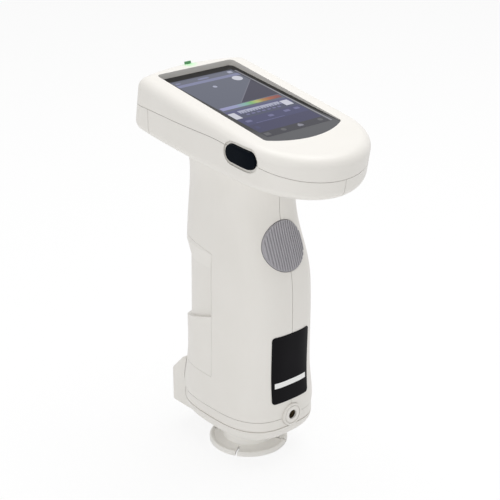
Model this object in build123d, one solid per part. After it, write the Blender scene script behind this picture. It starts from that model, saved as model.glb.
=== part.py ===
from build123d import *
import os
from bisect import bisect_left
from math import cos, dist, pi, radians, sin, sqrt, tan

# Head, in its own tilted plane above the grip
head_width = 76.0
head_length = 127.5
head_nose = 78.0
head_tilt = 9.6
rim_height = 208.1
rim_spare = 12.0
tail_radius = 8.0
tail_bulge = 6.5
head_top_round = 6.0
head_low_round = 6.0
head_depth = 60.0

# Underside of the head: distance from the measuring axis and height of the side edge there
underside_stations = ((-84.0, 174.8), (-34.0, 178.6), (3.0, 181.2), (72.0, 191.2))
underside_crown = 4.5
underside_spare = 12.0

# Line where the top shell meets the lower shells, seen from the side
parting_line = (
    (-90.0, 178.6),
    (-70.0, 184.1),
    (-50.0, 190.1),
    (-26.0, 196.8),
    (2.0, 198.5),
    (28.0, 199.9),
    (72.0, 202.9),
)
tail_seam = 38.7
tail_low = 160.0

# Grip: height, half width, depth to the user, depth away, squareness of each half
grip_stations = (
    (31.0, 29.2, 37.0, 38.0, 2.9, 3.0),
    (43.0, 29.0, 36.8, 37.6, 2.9, 3.0),
    (54.0, 27.6, 36.3, 36.4, 2.9, 3.0),
    (70.0, 27.2, 36.6, 36.2, 2.8, 3.0),
    (90.0, 27.0, 37.0, 36.0, 2.8, 3.0),
    (115.0, 26.6, 36.0, 36.0, 2.7, 3.0),
    (132.0, 25.8, 30.8, 36.2, 2.4, 3.0),
    (147.0, 25.0, 26.2, 35.2, 2.2, 3.0),
    (160.0, 24.8, 25.6, 33.6, 2.2, 3.0),
    (172.0, 26.0, 28.0, 32.2, 2.3, 3.0),
    (186.0, 30.0, 35.0, 32.0, 2.5, 3.0),
)
curve_steps = 6
curve_samples = 400

# Base of the grip: its floor, and how far its lower edge is drawn in on each side
base_height = 15.0
base_rise = 10.0
base_side_inset = 9.0
base_near_inset = 12.0
base_far_inset = 4.5
base_steps = 4
groove_height = 25.0
groove_width = 0.8
groove_depth = 0.6

# Walls, seams and fits
wall = 2.2
seam_gap = 0.3
fit_gap = 0.15
running_gap = 0.3
screw_gap = 0.05

# Screen window in the top shell
screen_tilt = 7.8
screen_height = 206.2
glass_half_width = 26.4
glass_far = 46.2
glass_near = 43.6
glass_bow = 7.8
glass_corner = 2.5
glass_thickness = 1.1
window_ledge = 2.2
window_border = 3.6
module_half_width = 24.1
module_near = 37.7
module_far = 41.7
module_depth = 3.2

# Bracket and board behind the display
bracket_lap = 3.7
bracket_near_lap = 4.3
bracket_far_lap = 3.3
bracket_thickness = 1.2
bracket_screw_inset = 1.8
bracket_window_half_width = 13.0
bracket_window_near = 18.0
bracket_window_far = 20.0
head_board_half_width = 26.0
head_board_near = 36.0
head_board_far = 40.0
board_screw_inset = 3.2
board_thickness = 1.6
board_standoff = 2.6
standoff_radius = 2.4
buzzer_radius = 6.0
buzzer_height = 5.0
buzzer_x = 12.0
buzzer_v = 24.0

# Small screws
small_screw = 0.8
small_screw_head = 1.5
small_boss = 1.5

# Status lens on the tail of the head
lens_length = 4.2
lens_width = 2.0
lens_lean = 22.0
lens_proud = 1.4
lens_depth = 7.0

# Measuring button on the thumb face
button_height = 132.8
button_lean = 19.3
button_radius = 14.0
button_gap = 0.35
button_proud = 0.9
rib_base = 0.3
rib_pitch = 1.62
rib_width = 0.9
button_flange = 1.4
button_flange_depth = 1.3
button_stem_radius = 3.0
button_travel = 1.2

# Switch, sleeve and carrier behind the button
carrier_wall = 1.8
button_board_depth = 13.5
button_board_reach = 14.0
switch_side = 6.0
switch_height = 3.4
switch_cap = 0.2
switch_cap_radius = 1.75
sleeve_low_radius = 6.4
sleeve_top_radius = 4.6
sleeve_wall = 1.0
sleeve_gap = 1.2

# Power key on the left-hand side of the head
key_length = 21.2
key_height = 9.2
key_y = -37.0
key_z = 193.0
key_lean = 5.2
key_gap = 0.3
key_proud = 0.2
key_flange = 1.1
key_reach = 5.6
key_travel = 0.7
key_pocket_spare = 3.4
key_pocket_depth = 1.0
key_stem_radius = 1.5
key_switch_height = 2.0

# Board behind the power key: its depth behind the side wall and its edges seen from the key
key_board_depth = 8.0
key_board_thickness = 1.2
key_board_near = 10.0
key_board_far = 7.0
key_board_low = 10.3
key_board_high = 3.3
key_post_drop = 8.6
key_post_inset = 3.0
key_post_radius = 1.5

# Grip cover with its finger recess, on the side away from the user
cover_seam = 0.0
cover_low = 50.0
cover_top = ((0.0, 125.0), (14.0, 127.2), (44.0, 128.4))
recess_depth = 2.2
recess_low = ((0.0, 87.6), (44.0, 71.8))
recess_front = 3.4
recess_ledge = 115.0
recess_slope = 0.235

# Block on the far side of the base that holds the data socket
block_root = 24.8
block_half_width = 22.5
block_reach = 44.0
block_shoulder = 37.0
block_top = 47.0
block_top_y = 34.5
block_round = 1.6
block_roof = 3.3
block_window = 9.0
socket_height = 31.0
socket_width = 9.0
socket_opening = 3.3
socket_wall = 0.3
socket_depth = 7.6
socket_back_wall = 3.6
tongue_half_width = 3.4
tongue_inset = 1.0
port_board_half_width = 8.6
port_board_near = 30.0
port_shelf_y = 38.4
flap_width = 18.0
flap_height = 9.6
flap_thickness = 1.8
flap_pin_radius = 0.7
flap_pin_length = 1.1
flap_clearance = 0.25

# Label place and threaded boss on the side towards the user
label_half_width = 13.3
label_low = 41.5
label_high = 83.0
label_round = 2.0
label_thickness = 0.3
boss_height = 32.0
boss_radius = 6.6
boss_proud = 1.4
boss_root = 17.0
boss_groove_radius = 5.3
boss_groove = 0.5
boss_face = 1.2
boss_mouth = 0.2
boss_flange_radius = 8.6
boss_flange_gap = 0.9
insert_radius = 3.9
insert_length = 10.0
thread_radius = 2.6

# Measuring nose and the stabiliser that turns on it
port_radius = 4.0
port_land = 3.0
nose_radius = 11.0
nose_tip_radius = 8.0
nose_flange_radius = 17.0
nose_flange = 2.0
light_cone_radius = 9.0
lug_radius = 12.7
lug_low = 5.0
lug_high = 7.0
lug_arc = 34.0
lug_entry_spare = 4.0
lug_count = 3
foot_radius = 23.1
foot_rim_height = 2.6
foot_plate_height = 3.4
foot_hub_radius = 15.2
foot_hub_height = 12.0
foot_recess = 0.9
foot_lip = 2.2
slit_width = 1.3
slit_inner = 16.6
slit_angle = 31.0
slit_count = 4
stabiliser_turn = 40.0

# Integrating sphere over the measuring nose
sphere_radius = 19.0
sphere_wall = 2.5
sphere_seat_radius = 13.0
sphere_flange_width = 3.3
sphere_flange = 1.6
sphere_post_radius = 1.7
sphere_screw_inset = 1.5
sphere_screw_depth = 8.0
sphere_screw_count = 4
barrel_angle = 8.0
barrel_radius = 5.8
barrel_bore = 4.2
barrel_seat = 1.0
lens_place = 7.0
lens_edge = 1.2
lens_crown = 0.7
lamp_angle = 50.0
lamp_radius = 5.0
lamp_length = 5.7
lamp_step = 0.4
lamp_rim = 0.8
lamp_depth = 0.55

# Spectrometer over the sphere
optics_half_width = 17.0
optics_near = -16.0
optics_far = 10.6
optics_low = 71.0
optics_high = 93.0
optics_wall = 2.0
lid_thickness = 1.6
peg_x = 13.0
peg_inset = 4.0
peg_radius = 2.2
rest_y = -4.5
rest_z = 82.0
rest_radius = 3.5
mirror_half_depth = 3.6
mirror_half_width = 5.0
mirror_low = 78.0
grating_half_width = 9.0
grating_height = 16.0
grating_depth = 3.8
grating_curve = 60.0
grating_sag = 1.0
sensor_inset = 2.2
sensor_length = 6.6
sensor_height = 4.4

# Main board, battery and its tray in the grip
main_board_y = -20.0
main_board_half_width = 17.0
main_board_low = 62.0
main_board_high = 112.0
chip_height = 1.2
chip_places = (
    (-6.0, 80.0, 12.0),
    (8.0, 86.0, 8.0),
    (4.0, 70.0, 6.0),
    (-8.0, 98.0, 7.0),
    (8.0, 100.0, 5.0),
)
tray_half_width = 21.0
tray_thickness = 1.6
tray_gap = 0.4
tray_low = 56.0
tray_high = 119.0
battery_half_width = 15.0
battery_depth = 14.0
battery_round = 2.0
battery_gap = 0.3

# Screws that close the housing
shell_screw_places = ((-28.5, 67.0), (-28.5, 104.0), (22.0, 150.0), (28.0, 45.6))
shell_boss_radius = 4.0
shell_screw_radius = 1.2
shell_screw_head = 2.5
shell_screw_seat = 8.0
shell_screw_tip = -7.0
screw_head_height = 1.6
base_screw_places = ((14.0, -29.8), (14.0, 30.8))
base_screw_seat = 20.0
base_boss_radius = 3.6
base_boss_top = 41.0
head_screw_inset = 6.8
head_screw_y = (-22.0, 34.0)
head_boss_radius = 3.2
head_screw_length = 19.5
head_screw_access = 10.0

# Cable between the head board and the main board: its bends and its lap on the main board
ribbon_half_width = 7.0
ribbon_thickness = 0.4
ribbon_gap = 0.1
ribbon_y = 4.0
ribbon_middle = ((4.0, 140.0), (-13.0, 117.0))
ribbon_lap = (2.0, 8.0)
ribbon_bend = 4.0


# Places worked out from the sizes above
left_side = -head_width / 2
base_seam = grip_stations[0][0]
boss_face_y = -grip_stations[0][2] - boss_proud
half_seam = seam_gap / 2
flap_axis_y = block_reach - flap_thickness / 2
flap_low = socket_height - flap_height / 2
flap_high = socket_height + flap_height / 2
flap_axis_z = flap_low + flap_thickness / 2
socket_mouth = block_reach - flap_thickness - flap_clearance
sphere_outside = sphere_radius + sphere_wall
sphere_seat = base_height + wall + nose_flange
sphere_height = sphere_seat + sqrt(sphere_outside ** 2 - sphere_seat_radius ** 2)
sphere_flange_radius = sphere_outside + sphere_flange_width
sphere_screw_ring = sphere_flange_radius - sphere_screw_inset
barrel_direction = (0, sin(radians(barrel_angle)), cos(radians(barrel_angle)))
barrel_start = sphere_outside + barrel_seat
lamp_seat = sphere_outside + lamp_step
lamp_reach = sphere_outside + lamp_length
bracket_half_width = module_half_width + bracket_lap
bracket_near = module_near + bracket_near_lap
bracket_far = module_far + bracket_far_lap
bracket_screw_x = bracket_half_width - bracket_screw_inset
bracket_screw_v = (bracket_screw_inset - bracket_near, bracket_far - bracket_screw_inset)
board_screw_x = head_board_half_width - board_screw_inset
board_screw_v = (board_screw_inset - head_board_near, head_board_far - board_screw_inset)
head_screw_places = [(head_width / 2 - head_screw_inset, y) for y in head_screw_y]
key_board_x = left_side + key_board_depth
key_flange_x = left_side + key_reach


def sloped_plane(height, tilt):
    """A plane that rises away from the user, over the measuring axis."""
    lean = radians(tilt)
    return Plane(origin=(0, 0, height), x_dir=(1, 0, 0), z_dir=(0, -sin(lean), cos(lean)))


def side_plane(x=0.0):
    """A plane seen from the right-hand side: local x runs away from the user, local y runs up."""
    return Plane(origin=(x, 0, 0), x_dir=(0, 1, 0), z_dir=(1, 0, 0))


def cross_plane(y):
    """A plane across the instrument: local x runs to the right, local y runs up."""
    return Plane(origin=(0, y, 0), x_dir=(1, 0, 0), z_dir=(0, -1, 0))


def side_solid(edges, half_width):
    """A solid with the given side outline, symmetric about the middle plane."""
    return extrude(side_plane() * make_face(edges), half_width, both=True)


def block(low_x, high_x, low_y, high_y, low_z, high_z):
    """A box between two corners."""
    middle = Pos((low_x + high_x) / 2, (low_y + high_y) / 2, (low_z + high_z) / 2)
    return middle * Box(high_x - low_x, high_y - low_y, high_z - low_z)


def post(x, y, low, high, radius):
    """An upright round post or hole."""
    return Pos(x, y, (low + high) / 2) * Cylinder(radius, high - low)


def cross_pin(y, z, low_x, high_x, radius):
    """A round pin or hole that runs from side to side."""
    return Pos((low_x + high_x) / 2, y, z) * Rot(0, 90, 0) * Cylinder(radius, high_x - low_x)


def depth_pin(x, z, low_y, high_y, radius):
    """A round pin or hole that runs towards and away from the user."""
    return Pos(x, (low_y + high_y) / 2, z) * Rot(90, 0, 0) * Cylinder(radius, high_y - low_y)


def mirrored(shape):
    """The shape and its mirror image on the other side of the middle plane."""
    return shape + mirror(shape, Plane.YZ)


# Outer form of the housing
def quadrant_points(half_width, depth, power):
    """Points at even steps along a quarter of a rounded outline, from its side to its middle line."""
    fine = []
    lengths = [0]
    for index in range(curve_samples):
        angle = pi / 2 * index / curve_samples
        fine.append((half_width * cos(angle) ** (2 / power), depth * sin(angle) ** (2 / power)))
    fine.append((0, depth))
    for first, second in zip(fine, fine[1:]):
        lengths.append(lengths[-1] + dist(first, second))
    shares = [lengths[-1] * step / curve_steps for step in range(curve_steps)]
    return [fine[bisect_left(lengths, share)] for share in shares] + [fine[-1]]


def quadrant(sign_x, sign_y, half_width, depth, power):
    """A quarter of a rounded outline as a smooth curve, with the same even steps in every section."""
    points = [Vector(sign_x * x, sign_y * y) for x, y in quadrant_points(half_width, depth, power)]
    length = sum((second - first).length for first, second in zip(points, points[1:]))
    ends = [Vector(0, sign_y * length), Vector(-sign_x * length, 0)]
    steps = [step / curve_steps for step in range(curve_steps + 1)]
    return Edge.make_spline(points, tangents=ends, parameters=steps, scale=False)


def grip_face(height, half_width, near, far, near_power, far_power):
    """Cross-section of the grip at one height."""
    edges = []
    for sign_y, depth, power in ((-1, near, near_power), (1, far, far_power)):
        for sign_x in (-1, 1):
            edges.append(quadrant(sign_x, sign_y, half_width, depth, power))
    return Pos(0, 0, height) * make_face(edges)


def grip_solid(grow):
    """The grip from its seam with the base up into the head."""
    faces = []
    for height, half_width, near, far, near_power, far_power in grip_stations:
        faces.append(grip_face(height, half_width + grow, near + grow, far + grow, near_power, far_power))
    return loft(faces)


def base_solid(grow):
    """The base below the grip, with its lower edge drawn in on a quarter ellipse."""
    seam, half_width, near, far, near_power, far_power = grip_stations[0]
    faces = []
    for step in range(base_steps + 1):
        angle = pi / 2 * step / base_steps
        height = base_height - grow + base_rise * (1 - cos(angle))
        drawn_in = 1 - sin(angle)
        faces.append(
            grip_face(
                height,
                half_width + grow - base_side_inset * drawn_in,
                near + grow - base_near_inset * drawn_in,
                far + grow - base_far_inset * drawn_in,
                near_power,
                far_power,
            )
        )
    faces.append(grip_face(seam, half_width + grow, near + grow, far + grow, near_power, far_power))
    return loft(faces)


def head_plan(grow):
    """Outline of the head seen square to its rim: round nose, bowed tail."""
    side = head_width / 2 + grow
    nose = -head_nose - grow
    tail = head_length - head_nose + grow
    edges = [
        Line((side, tail), (side, nose + side)),
        ThreePointArc((side, nose + side), (0, nose), (-side, nose + side)),
        Line((-side, nose + side), (-side, tail)),
        ThreePointArc((-side, tail), (0, tail + tail_bulge), (side, tail)),
    ]
    outline = make_face(edges)
    return fillet(outline.vertices().group_by(Axis.Y)[-1], tail_radius + grow)


def underside_block(grow):
    """Everything above the crowned underside of the head."""
    faces = []
    top = rim_height + head_depth
    side = head_width / 2
    reach = side + underside_spare
    arc_radius = (side ** 2 + underside_crown ** 2) / (2 * underside_crown)
    rise = arc_radius - sqrt(arc_radius ** 2 - reach ** 2)
    for y, edge in underside_stations:
        keel = edge - grow - underside_crown
        ends = keel + rise
        edges = [
            ThreePointArc((-reach, ends), (0, keel), (reach, ends)),
            Polyline((reach, ends), (reach, top), (-reach, top), (-reach, ends)),
        ]
        faces.append(cross_plane(y) * make_face(edges))
    return loft(faces)


def head_solid(grow):
    """The head, rounded along its rim and along its lower edge."""
    rim = sloped_plane(rim_height, head_tilt)
    form = extrude(rim * Pos(0, 0, grow) * head_plan(grow), -head_depth) & underside_block(grow)
    form = fillet(form.faces().sort_by(Axis.Z)[-1].edges(), head_top_round + grow)
    underside = form.faces().filter_by(GeomType.BSPLINE).sort_by(Axis.Z)[0]
    return fillet(underside.edges(), head_low_round + grow)


def body_solid(grow):
    """The whole outer form, grown or shrunk all round."""
    return head_solid(grow) + grip_solid(grow) + base_solid(grow)


def above_parting(shift):
    """Everything above the parting line of the head, which is raised by the given shift."""
    points = [(y, z + shift) for y, z in parting_line]
    first, last = points[0], points[-1]
    top = rim_height + head_depth
    edges = [
        Spline(*points),
        Polyline(last, (last[0], top), (first[0], top), first),
    ]
    return side_solid(edges, head_width)


def grip_sizes(height):
    """Sizes of the grip's cross-section at any height, between its stations."""
    for lower, upper in zip(grip_stations, grip_stations[1:]):
        if height <= upper[0]:
            share = (height - lower[0]) / (upper[0] - lower[0])
            return [low + (high - low) * share for low, high in zip(lower, upper)]


def recess_solid(grow):
    """The grip drawn in for the fingers, with slopes that come back out at the ledge and at the front."""
    faces = []
    low = grip_stations[2][0]
    for height in (low, recess_ledge, button_height):
        draft = max(0, height - recess_ledge) * recess_slope
        level, half_width, near, far, near_power, far_power = grip_sizes(height)
        shift = grow + draft - recess_depth
        faces.append(grip_face(level, half_width + shift, near + shift, far + shift, near_power, far_power))
    start = grip_sizes(recess_low[0][1])[1] + grow
    end = start - recess_depth
    slant = Polyline(
        (start, cover_seam),
        (end, recess_front),
        (-end, recess_front),
        (-start, cover_seam),
        (start, cover_seam),
    )
    return loft(faces, ruled=True) + extrude(Pos(0, 0, low) * make_face(slant), button_height - low)


def cover_region(shrink):
    """Space of the grip cover, seen from the side, drawn in by a clearance at its seams."""
    start, middle, end = [(y, z - shrink) for y, z in cover_top]
    low = cover_low + shrink
    front = cover_seam + shrink
    edges = [
        ThreePointArc((front, start[1]), middle, end),
        Polyline(end, (end[0], low), (front, low), (front, start[1])),
    ]
    return side_solid(edges, head_width / 2)


def recess_region():
    """Space of the finger recess in the grip cover, seen from the side."""
    start, middle, end = cover_top
    low_start, low_end = recess_low
    edges = [
        ThreePointArc(start, middle, end),
        Polyline(end, low_end, low_start, start),
    ]
    return side_solid(edges, head_width / 2)


# Screen planes
rim_plane = sloped_plane(rim_height, head_tilt)
screen_plane = sloped_plane(screen_height, screen_tilt)
ledge_low = -glass_thickness - window_ledge
bracket_top = -glass_thickness - module_depth
bracket_low = bracket_top - bracket_thickness
head_board_top = bracket_low - board_standoff
head_board_low = head_board_top - board_thickness


def glass_outline(grow):
    """Outline of the screen glass: straight far end, bowed near end."""
    side = glass_half_width + grow
    far = glass_far + grow
    near = -glass_near - grow
    edges = [
        Polyline((-side, near), (-side, far), (side, far), (side, near)),
        ThreePointArc((side, near), (0, near - glass_bow), (-side, near)),
    ]
    outline = make_face(edges)
    return fillet(outline.vertices(), glass_corner + grow)


def screen_layer(outline, low, high):
    """A layer between two levels of the screen plane."""
    return extrude(screen_plane * Pos(0, 0, low) * outline, high - low)


def screen_block(half_width, near, far, low, high):
    """A box in the screen plane."""
    size = Pos(0, (far - near) / 2) * Rectangle(2 * half_width, far + near)
    return screen_layer(size, low, high)


def screen_pins(x, places, low, high, radius):
    """Four round pins or holes in the screen plane."""
    pins = None
    for v in places:
        for side in (-1, 1):
            pin = screen_layer(Pos(side * x, v) * Circle(radius), low, high)
            pins = pin if pins is None else pins + pin
    return pins


def underside_height(y):
    """Height of the side edge of the underside, between the stations."""
    for (y0, z0), (y1, z1) in zip(underside_stations, underside_stations[1:]):
        if y <= y1:
            return z0 + (z1 - z0) * (y - y0) / (y1 - y0)


def head_screw_seat(y):
    """Height at which a head screw seats."""
    return underside_height(y) + wall


def parting_height(y):
    """Height of the parting line, between its points."""
    for (y0, z0), (y1, z1) in zip(parting_line, parting_line[1:]):
        if y <= y1:
            return z0 + (z1 - z0) * (y - y0) / (y1 - y0)


# Button plane: its origin lies on the thumb face and its local z points at the thumb
button_plane = Plane(
    origin=(0, -grip_sizes(button_height)[2], button_height),
    x_dir=(1, 0, 0),
    z_dir=(0, -cos(radians(button_lean)), sin(radians(button_lean))),
)


def button_pin(low, high, radius):
    """A round pin or hole along the button's axis."""
    return extrude(button_plane * Pos(0, 0, low) * Circle(radius), high - low)


def key_slot(grow_length, grow_height, low_x, high_x):
    """The rounded outline of the power key, along its axis."""
    height = key_height + grow_height
    length = key_length + grow_length
    outline = Pos(key_y, key_z) * Rot(0, 0, key_lean) * SlotOverall(length, height)
    return extrude(side_plane(low_x) * outline, high_x - low_x)


# Shared forms: the outer skin, the inside of the walls, and a form between them that roots bosses
outer = body_solid(0)
hollow = outer - body_solid(-wall)
core = body_solid(-wall / 2)
grip_outer = grip_solid(0)


def lens_form(grow):
    """The status lens on the tail of the head, or its hole."""
    centre_v = head_length - head_nose + tail_bulge - head_top_round
    place = rim_plane * Pos(0, centre_v, -head_top_round) * Rot(-lens_lean, 0, 0)
    outline = SlotOverall(lens_length + 2 * grow, lens_width + 2 * grow)
    top = head_top_round + lens_proud
    return extrude(place * Pos(0, 0, top - lens_depth) * outline, lens_depth)


def key_openings():
    """Hole and shallow pocket of the power key in the side wall."""
    hole = key_slot(2 * key_gap, 2 * key_gap, left_side - wall, key_board_x)
    pocket = key_slot(key_pocket_spare, key_pocket_spare, left_side - wall, key_board_x)
    return hole + (pocket - head_solid(-key_pocket_depth))


def head_screw_holes():
    """Holes and counterbores of the screws that join the head from below."""
    cut = []
    for x, y in head_screw_places:
        seat = head_screw_seat(y)
        top = seat + head_screw_length + fit_gap
        cut.append(post(x, y, seat, top, shell_screw_radius + screw_gap))
        cut.append(post(x, y, seat - head_screw_access, seat, shell_screw_head + fit_gap))
    return mirrored(join(cut))


def join(shapes):
    """All shapes of a list as one."""
    result = shapes[0]
    for shape in shapes[1:]:
        result = result + shape
    return result


def top_shell():
    """Upper shell of the head: window seat, ledge under the glass, screw bosses."""
    shell = hollow & above_parting(half_seam)
    shell += screen_layer(glass_outline(window_border), ledge_low, rim_spare) & core
    shell += screen_pins(bracket_screw_x, bracket_screw_v, bracket_top, ledge_low, small_boss)
    for x, y in head_screw_places:
        boss = post(x, y, parting_height(y) + half_seam, rim_height + rim_spare, head_boss_radius)
        shell += mirrored(boss & core)
    shell -= screen_layer(glass_outline(fit_gap), -glass_thickness, rim_spare)
    shell -= screen_block(
        module_half_width + running_gap, module_near + running_gap, module_far + running_gap, ledge_low, 0
    )
    shell -= screen_pins(
        bracket_screw_x, bracket_screw_v, bracket_top, -glass_thickness, small_screw + screw_gap
    )
    shell -= head_screw_holes()
    shell -= lens_form(screw_gap)
    return shell - key_openings()


def display_glass():
    """Touch glass of the screen, flush with its ledge."""
    return screen_layer(glass_outline(0), -glass_thickness, 0)


def display_module():
    """Flat display panel bonded under the glass."""
    return screen_block(module_half_width, module_near, module_far, bracket_top, -glass_thickness)


def display_bracket():
    """Sheet metal bracket that holds the display, with standoffs for the head board."""
    plate = screen_block(bracket_half_width, bracket_near, bracket_far, bracket_low, bracket_top)
    plate -= screen_block(
        bracket_window_half_width, bracket_window_near, bracket_window_far, bracket_low, bracket_top
    )
    plate += screen_pins(board_screw_x, board_screw_v, head_board_top, bracket_low, standoff_radius)
    plate -= screen_pins(
        bracket_screw_x, bracket_screw_v, bracket_low, bracket_top, small_screw + screw_gap
    )
    return plate - screen_pins(
        board_screw_x, board_screw_v, head_board_top, bracket_top, small_screw + screw_gap
    )


def head_board():
    """Circuit board behind the display."""
    board = screen_block(
        head_board_half_width, head_board_near, head_board_far, head_board_low, head_board_top
    )
    return board - screen_pins(
        board_screw_x, board_screw_v, head_board_low, head_board_top, small_screw + screw_gap
    )


def display_screws():
    """Small screws of the display bracket and of the head board."""
    tip = ledge_low + window_ledge / 2
    head_low = bracket_low - small_screw
    board_head_low = head_board_low - small_screw
    groups = [
        screen_pins(bracket_screw_x, bracket_screw_v, head_low, bracket_low, small_screw_head),
        screen_pins(bracket_screw_x, bracket_screw_v, bracket_low, tip, small_screw),
        screen_pins(board_screw_x, board_screw_v, board_head_low, head_board_low, small_screw_head),
        screen_pins(board_screw_x, board_screw_v, head_board_low, bracket_low, small_screw),
    ]
    return join(groups)


def buzzer():
    """Sounder under the head board."""
    outline = Pos(buzzer_x, buzzer_v) * Circle(buzzer_radius)
    return screen_layer(outline, head_board_low - buzzer_height, head_board_low)


def tail_space(shift):
    """Everything behind the seam of the tail cap, which is moved by the given shift."""
    return block(-head_width, head_width, tail_seam + shift, head_length, tail_low, rim_height + rim_spare)


def lower_shells():
    """Both lower shells of head and grip in one, before they are parted at the middle."""
    shell = hollow - above_parting(-half_seam) - tail_space(-half_seam)
    shell -= block(-head_width, head_width, -head_length, head_length, -head_depth, base_seam + half_seam)
    shell -= cover_region(0)
    bosses = []
    for y, z in shell_screw_places:
        bosses.append(cross_pin(y, z, half_seam, head_width / 2, shell_boss_radius))
    for x, y in base_screw_places:
        bosses.append(post(x, y, base_seam + half_seam, base_boss_top, base_boss_radius))
    for x, y in head_screw_places:
        bosses.append(post(x, y, head_screw_seat(y) - wall, parting_height(y) - half_seam, head_boss_radius))
    bosses.append(cross_pin(rest_y, rest_z, optics_half_width + fit_gap, head_width / 2, rest_radius))
    shell += mirrored(join(bosses)) & core
    for y in (key_y - key_board_near + key_post_inset, key_y + key_board_far - key_post_inset):
        shell += cross_pin(y, key_z - key_post_drop, left_side, key_board_x, key_post_radius) & core
    for y, z in shell_screw_places:
        shell -= cross_pin(y, z, shell_screw_tip - fit_gap, shell_screw_seat, shell_screw_radius + screw_gap)
        shell -= cross_pin(y, z, shell_screw_seat, head_width / 2, shell_screw_head + fit_gap)
    shell -= base_screw_holes()
    shell -= head_screw_holes()
    shell -= key_openings()
    shell -= button_pin(-button_board_depth, button_board_depth, button_radius + button_gap)
    shell -= boss_hole()
    return shell - socket_window()


def half_space(side):
    """Everything on one side of the seam between the lower shells."""
    low, high = (half_seam, head_width) if side > 0 else (-head_width, -half_seam)
    return block(low, high, -head_length, head_length, 0, rim_height + rim_spare)


def tail_cap():
    """Cap that closes the lower head at its tail."""
    return (hollow - above_parting(-half_seam)) & tail_space(half_seam)


def base_screw_holes():
    """Holes and counterbores of the screws that hold the base collar."""
    cut = []
    for x, y in base_screw_places:
        cut.append(post(x, y, base_screw_seat, base_boss_top - wall, shell_screw_radius + screw_gap))
        cut.append(post(x, y, 0, base_screw_seat, shell_screw_head + fit_gap))
    return mirrored(join(cut))


def boss_hole():
    """Hole for the threaded boss through shells and collar."""
    return depth_pin(0, boss_height, -head_width, -boss_root, boss_radius + fit_gap)


def socket_window():
    """Opening behind the socket block, through shells and collar."""
    low = socket_height - block_window
    high = socket_height + block_window
    return block(-block_window, block_window, block_root, head_width, low, high)


def base_collar():
    """Grooved collar that closes the bottom of the grip and carries the optics."""
    collar = hollow & block(-head_width, head_width, -head_width, head_width, 0, base_seam - half_seam)
    bosses = []
    for x, y in base_screw_places:
        bosses.append(post(x, y, base_height, base_seam - half_seam, base_boss_radius))
    collar += mirrored(join(bosses)) & core
    post_top = sphere_height - sphere_flange - fit_gap
    for x, y in sphere_screw_points():
        collar += post(x, y, base_height + wall / 2, post_top, sphere_post_radius)
    groove_low = groove_height - groove_width / 2
    groove = block(-head_width, head_width, -head_width, head_width, groove_low, groove_low + groove_width)
    collar -= groove - base_solid(-groove_depth)
    collar -= post(0, 0, 0, base_height + wall, nose_radius + fit_gap)
    collar -= sphere_screw_holes()
    return collar - base_screw_holes() - boss_hole() - socket_window()


def sphere_screw_points():
    """Places of the screws that hold the two halves of the sphere."""
    points = []
    for index in range(sphere_screw_count):
        angle = 2 * pi * (index + 1 / 2) / sphere_screw_count
        points.append((sphere_screw_ring * cos(angle), sphere_screw_ring * sin(angle)))
    return points


def sphere_screw_holes():
    """Holes of the sphere screws through both flanges and into the posts."""
    low = sphere_height - sphere_screw_depth
    top = sphere_height + sphere_flange
    return join([post(x, y, low, top, small_screw + screw_gap) for x, y in sphere_screw_points()])


def sphere_screws():
    """Screws that clamp the sphere halves onto the collar posts."""
    top = sphere_height + sphere_flange
    screws = []
    for x, y in sphere_screw_points():
        screws.append(post(x, y, sphere_height - sphere_screw_depth + fit_gap, top, small_screw))
        screws.append(post(x, y, top, top + small_screw, small_screw_head))
    return join(screws)


def shell_screws():
    """Screws that pull the two lower shells together from the right-hand side."""
    head_top = shell_screw_seat + screw_head_height
    screws = []
    for y, z in shell_screw_places:
        screws.append(cross_pin(y, z, shell_screw_tip, shell_screw_seat, shell_screw_radius))
        screws.append(cross_pin(y, z, shell_screw_seat, head_top, shell_screw_head))
    return join(screws)


def base_screws():
    """Screws that hold the base collar to the shells."""
    screws = []
    for x, y in base_screw_places:
        screws.append(post(x, y, base_screw_seat, base_boss_top - wall - fit_gap, shell_screw_radius))
        screws.append(post(x, y, base_screw_seat - screw_head_height, base_screw_seat, shell_screw_head))
    return mirrored(join(screws))


def head_screws():
    """Screws that hold the top shell to the lower shells."""
    screws = []
    for x, y in head_screw_places:
        seat = head_screw_seat(y)
        screws.append(post(x, y, seat, seat + head_screw_length, shell_screw_radius))
        screws.append(post(x, y, seat - screw_head_height, seat, shell_screw_head))
    return mirrored(join(screws))


def grip_cover():
    """Cover on the far side of the grip, with the recess for the fingers."""
    region = cover_region(fit_gap)
    recess = recess_region() & region
    liner_space = (recess + Pos(0, 0, -wall) * recess) & region
    skin = (grip_outer - grip_solid(-wall)) & region
    liner = ((recess_solid(0) & grip_outer) - recess_solid(-wall)) & liner_space
    step = (grip_outer - recess_solid(-wall)) & (liner_space - recess)
    return skin - recess + liner + step


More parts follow.
